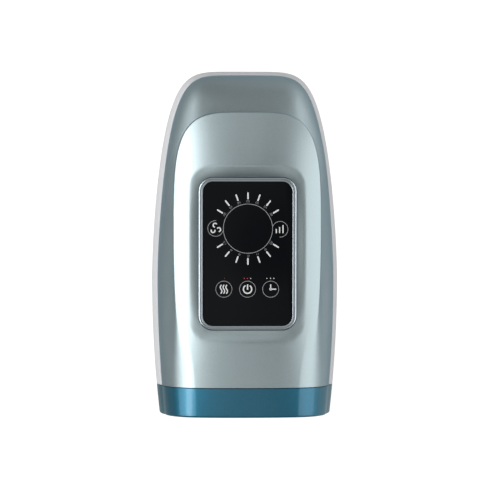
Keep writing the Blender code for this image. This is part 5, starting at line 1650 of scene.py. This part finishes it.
def coil_spring(name, x, y, low, high, finish, sides=12, steps=44):
    """A helix tube whose end turns rise by one wire each, while the middle turns take the rest."""
    turn = np.linspace(0, SPRING_TURNS, int(SPRING_TURNS * steps) + 1)
    reach = high - low - 2 * SPRING_WIRE
    stops = [0, 2 * SPRING_WIRE, reach - 2 * SPRING_WIRE, reach]
    climb = np.interp(turn, [0, 1, SPRING_TURNS - 1, SPRING_TURNS], stops)
    angle = 2 * math.pi * turn
    wind = SPRING_RADIUS - SPRING_WIRE
    path = np.column_stack([x + wind * np.cos(angle), y + wind * np.sin(angle), low + SPRING_WIRE + climb])
    outward = np.column_stack([np.cos(angle), np.sin(angle), np.zeros(len(angle))])
    ahead = np.gradient(path, axis=0)
    ahead /= np.linalg.norm(ahead, axis=1)[:, None]
    over = np.cross(outward, ahead)
    section = np.linspace(0, 2 * math.pi, sides, endpoint=False)
    tube = path[:, None] + SPRING_WIRE * (
        outward[:, None] * np.cos(section)[None, :, None] + over[:, None] * np.sin(section)[None, :, None]
    )
    return ring_body(name, tube, finish, None)


for name in ("palm", "finger", "lower"):
    low, high, x, y = box_middle(name + "_valve_spring")
    spring = coil_spring(name + "_return_spring", x, y, low[2], high[2], steel)
    name + "_plunger"
    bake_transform(spring)
    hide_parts(name + "_valve_spring")
    print(spring.name, len(spring.data.polygons), "faces,", round((high[2] - low[2]) * 1000, 2), "mm long")

# %% [markdown]
# The parts inside already have the right shape in the frame, so each is a merged copy of its
# node with its edges rounded off. They get finishes of their own: green boards with copper
# tracks, copper windings on the valves, silicone hoses, printed wraps on the cells and an
# amber film with its heating track.

# %% Boards and windings


def stripes(value, pitch, share, edge=0.12):
    """1 on a stripe and 0 between stripes, along a value in metres."""
    centre = ((value / pitch).fraction() - 0.5).abs() * 2.0
    return 1.0 - centre.step(share - edge, share + edge)


TRACK_PITCH = 0.0011


def board():
    """Solder mask over copper tracks: two sets of stripes that swap by patch, pads as bright dots."""
    made = Finish("printed_circuit", (0.02, 0.16, 0.07), 0.35, coat=0.3, coat_roughness=0.2)
    x, y = made.axes()[:2]
    patch = made.cells(95.0, "Color")
    swap = made.node("SeparateColor", Color=patch).step(0.45, 0.55)
    along = stripes(x, TRACK_PITCH, 0.36)
    across = stripes(y, TRACK_PITCH, 0.36)
    track = along * swap + across * (1.0 - swap)
    dots = 1.0 - made.cells(420.0).step(0.16, 0.24)
    mask = made.mix(track, (0.012, 0.105, 0.045), (0.030, 0.215, 0.095))
    made.feed("Base Color", made.mix(dots, mask, (0.62, 0.60, 0.50)))
    made.feed("Roughness", 0.34 + made.noise(300.0, 2.0, 0.6) * 0.10)
    made.bump(track * 0.6 + dots * 0.4, 0.00005, 0.5)
    return made.done()


COIL_PITCH = 0.00045


def winding():
    """A solenoid's copper winding under tape: fine turns across z on its side, steel on its ends."""
    made = Finish("copper_winding", (0.62, 0.30, 0.13), 0.38, metallic=0.85)
    z = made.axes()[2]
    turns = stripes(z, COIL_PITCH, 0.62, 0.3)
    dirt = made.noise(160.0, 3.0, 0.6)
    shade = (turns * 0.7 + dirt * 0.3).clamp()
    made.feed("Base Color", made.mix(shade, (0.30, 0.120, 0.045), (0.72, 0.36, 0.17)))
    made.feed("Roughness", 0.32 + dirt * 0.16)
    made.bump(turns, 0.00006, 0.6)
    return made.done()


board_finish = board()
copper = winding()

# %% [markdown]
# The hoses, the cells' wraps and the heater film are films and rubbers: little relief, soft
# shine, and a pattern that tells what they are. Bare metal shows at a cell's two ends.

# %% Hoses, wraps and the heater film


def silicone():
    """Milky silicone hose: cloudy, a little dusty and softly shiny."""
    made = Finish("silicone_hose", (0.55, 0.55, 0.52), 0.42, coat=0.15, coat_roughness=0.3)
    cloud = made.noise(90.0, 3.0, 0.5)
    dust = made.noise(1600.0, 2.0, 0.7)
    made.feed("Base Color", made.mix(cloud, (0.50, 0.50, 0.47), (0.61, 0.61, 0.58)))
    made.feed("Roughness", 0.36 + dust * 0.14)
    made.bump(dust, 0.00003, 0.4)
    return made.done()


BAND_X = -0.024
BAND_HALF = 0.0012
TIP_X = 0.0319
LINE_EDGE = 0.0001


def wrap():
    """A cell's shrink wrap: blue film with a pale band, bare steel on both ends, an orange-peel skin."""
    made = Finish("battery_wrap", (0.05, 0.16, 0.45), 0.32, coat=0.4, coat_roughness=0.12)
    x = made.axes()[0]
    skin = made.noise(700.0, 2.0, 0.5)
    band = 1.0 - (x - BAND_X).abs().step(BAND_HALF, BAND_HALF + LINE_EDGE)
    tip = x.abs().step(TIP_X, TIP_X + LINE_EDGE)
    blue = made.mix(skin, (0.042, 0.140, 0.400), (0.060, 0.185, 0.500))
    film = made.mix(band, blue, (0.62, 0.64, 0.66))
    made.feed("Base Color", made.mix(tip, film, (0.58, 0.58, 0.57)))
    made.feed("Metallic", tip)
    made.feed("Roughness", 0.28 + skin * 0.10)
    made.bump(skin, 0.00004, 0.4)
    return made.done()


WAVE_LENGTH = 0.011
WAVE_HEIGHT = 0.0011
HEATER_PITCH = 0.0042


def heating_track():
    """Amber film with one copper track that runs to and fro: stripes along x, bent by a slow wave."""
    made = Finish("heating_film", (0.60, 0.28, 0.08), 0.35, coat=0.3, coat_roughness=0.15)
    x, y = made.axes()[:2]
    wave = (y * (2 * math.pi / WAVE_LENGTH)).sine() * WAVE_HEIGHT
    track = stripes(x + wave, HEATER_PITCH, 0.34, 0.08)
    grain = made.noise(800.0, 2.0, 0.6)
    film = made.mix(grain, (0.53, 0.235, 0.062), (0.66, 0.320, 0.100))
    made.feed("Base Color", made.mix(track, film, (0.72, 0.34, 0.16)))
    made.feed("Metallic", track * 0.8)
    made.feed("Roughness", 0.30 + grain * 0.12)
    made.bump(track, 0.00004, 0.5)
    return made.done()


print("recipes for films and rubbers ready")

# %% [markdown]
# A node's mesh from the frame is loose triangles, so its copy is merged before anything else.
# Flat faces are then joined, because a bevel needs clean edges, and the bevel gives each part
# the small radius that catches the light. Every copy rides on the body that its node rides on.

# %% A softened copy of a node
FLAT_ANGLE = math.radians(0.5)
BEVEL_ANGLE = math.radians(40)


def softened(name, finish, edge):
    """A copy of a node with its triangles merged, its flat faces joined and its edges rounded."""
    node = frame["nodes"][name]
    data = node.data.copy()
    work = bmesh.new()
    work.from_mesh(data)
    bmesh.ops.remove_doubles(work, verts=work.verts, dist=WELD)
    bmesh.ops.dissolve_limit(work, angle_limit=FLAT_ANGLE, verts=work.verts, edges=work.edges)
    work.to_mesh(data)
    work.free()
    piece = bpy.data.objects.new(name + "_detail", data)
    bpy.context.collection.objects.link(piece)
    data.materials.clear()
    data.materials.append(finish)
    if edge:
        round_off = piece.modifiers.new("round_off", "BEVEL")
        round_off.width = edge
        round_off.segments = 2
        round_off.limit_method = "ANGLE"
        round_off.angle_limit = BEVEL_ANGLE
    return settle(piece)


print("copies rounded where their edges turn by more than", round(math.degrees(BEVEL_ANGLE)), "degrees")

# %% [markdown]
# Each remaining part gets such a copy, a finish by its slot and an edge by its size. The
# housing screws also get a cross recess, cut with two small blocks.

# %% Each remaining part
FINE_EDGE = 0.00015
RECESS_LONG, RECESS_SHORT, RECESS_DEPTH = 0.0017, 0.0004, 0.0009
finishes = {
    "circuit_board": board_finish,
    "steel": steel,
    "brass": brass,
    "grey_plastic": grey_moulding,
    "white_plastic": white_moulding,
    "rubber": black_rubber,
    "battery_wrap": wrap(),
    "heater_film": heating_track(),
    "air_cell_film": silicone(),
}
edges = {
    "rubber_foot": 0.0006, "battery_cell": 0.0006, "pump_motor": 0.0005, "pump_head": 0.0004,
    "charging_socket": 0.0002, "film": 0.0,
}
made = []
for name, node in sorted(frame["nodes"].items()):
    if node.hide_render:
        continue
    slot_name = node.material_slots[0].material.name.split(".")[0]
    edge = next((size for key, size in edges.items() if key in name), FINE_EDGE)
    piece = softened(name, copper if name.endswith("_valve_coil") else finishes[slot_name], edge)
    if name.startswith("housing_screw"):
        low, high, x, y = box_middle(name)
        under, floor_z = low[2] + CUT_LOW, low[2] + RECESS_DEPTH
        arms = (RECESS_LONG, RECESS_SHORT), (RECESS_SHORT, RECESS_LONG)
        for a, b in arms:
            cut(piece, block_body("arm", (x - a, y - b, under), (x + a, y + b, floor_z), steel))
    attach(piece, node["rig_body"])
    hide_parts(name)
    made.append(name)
print(len(made), "parts softened:", ", ".join(made))
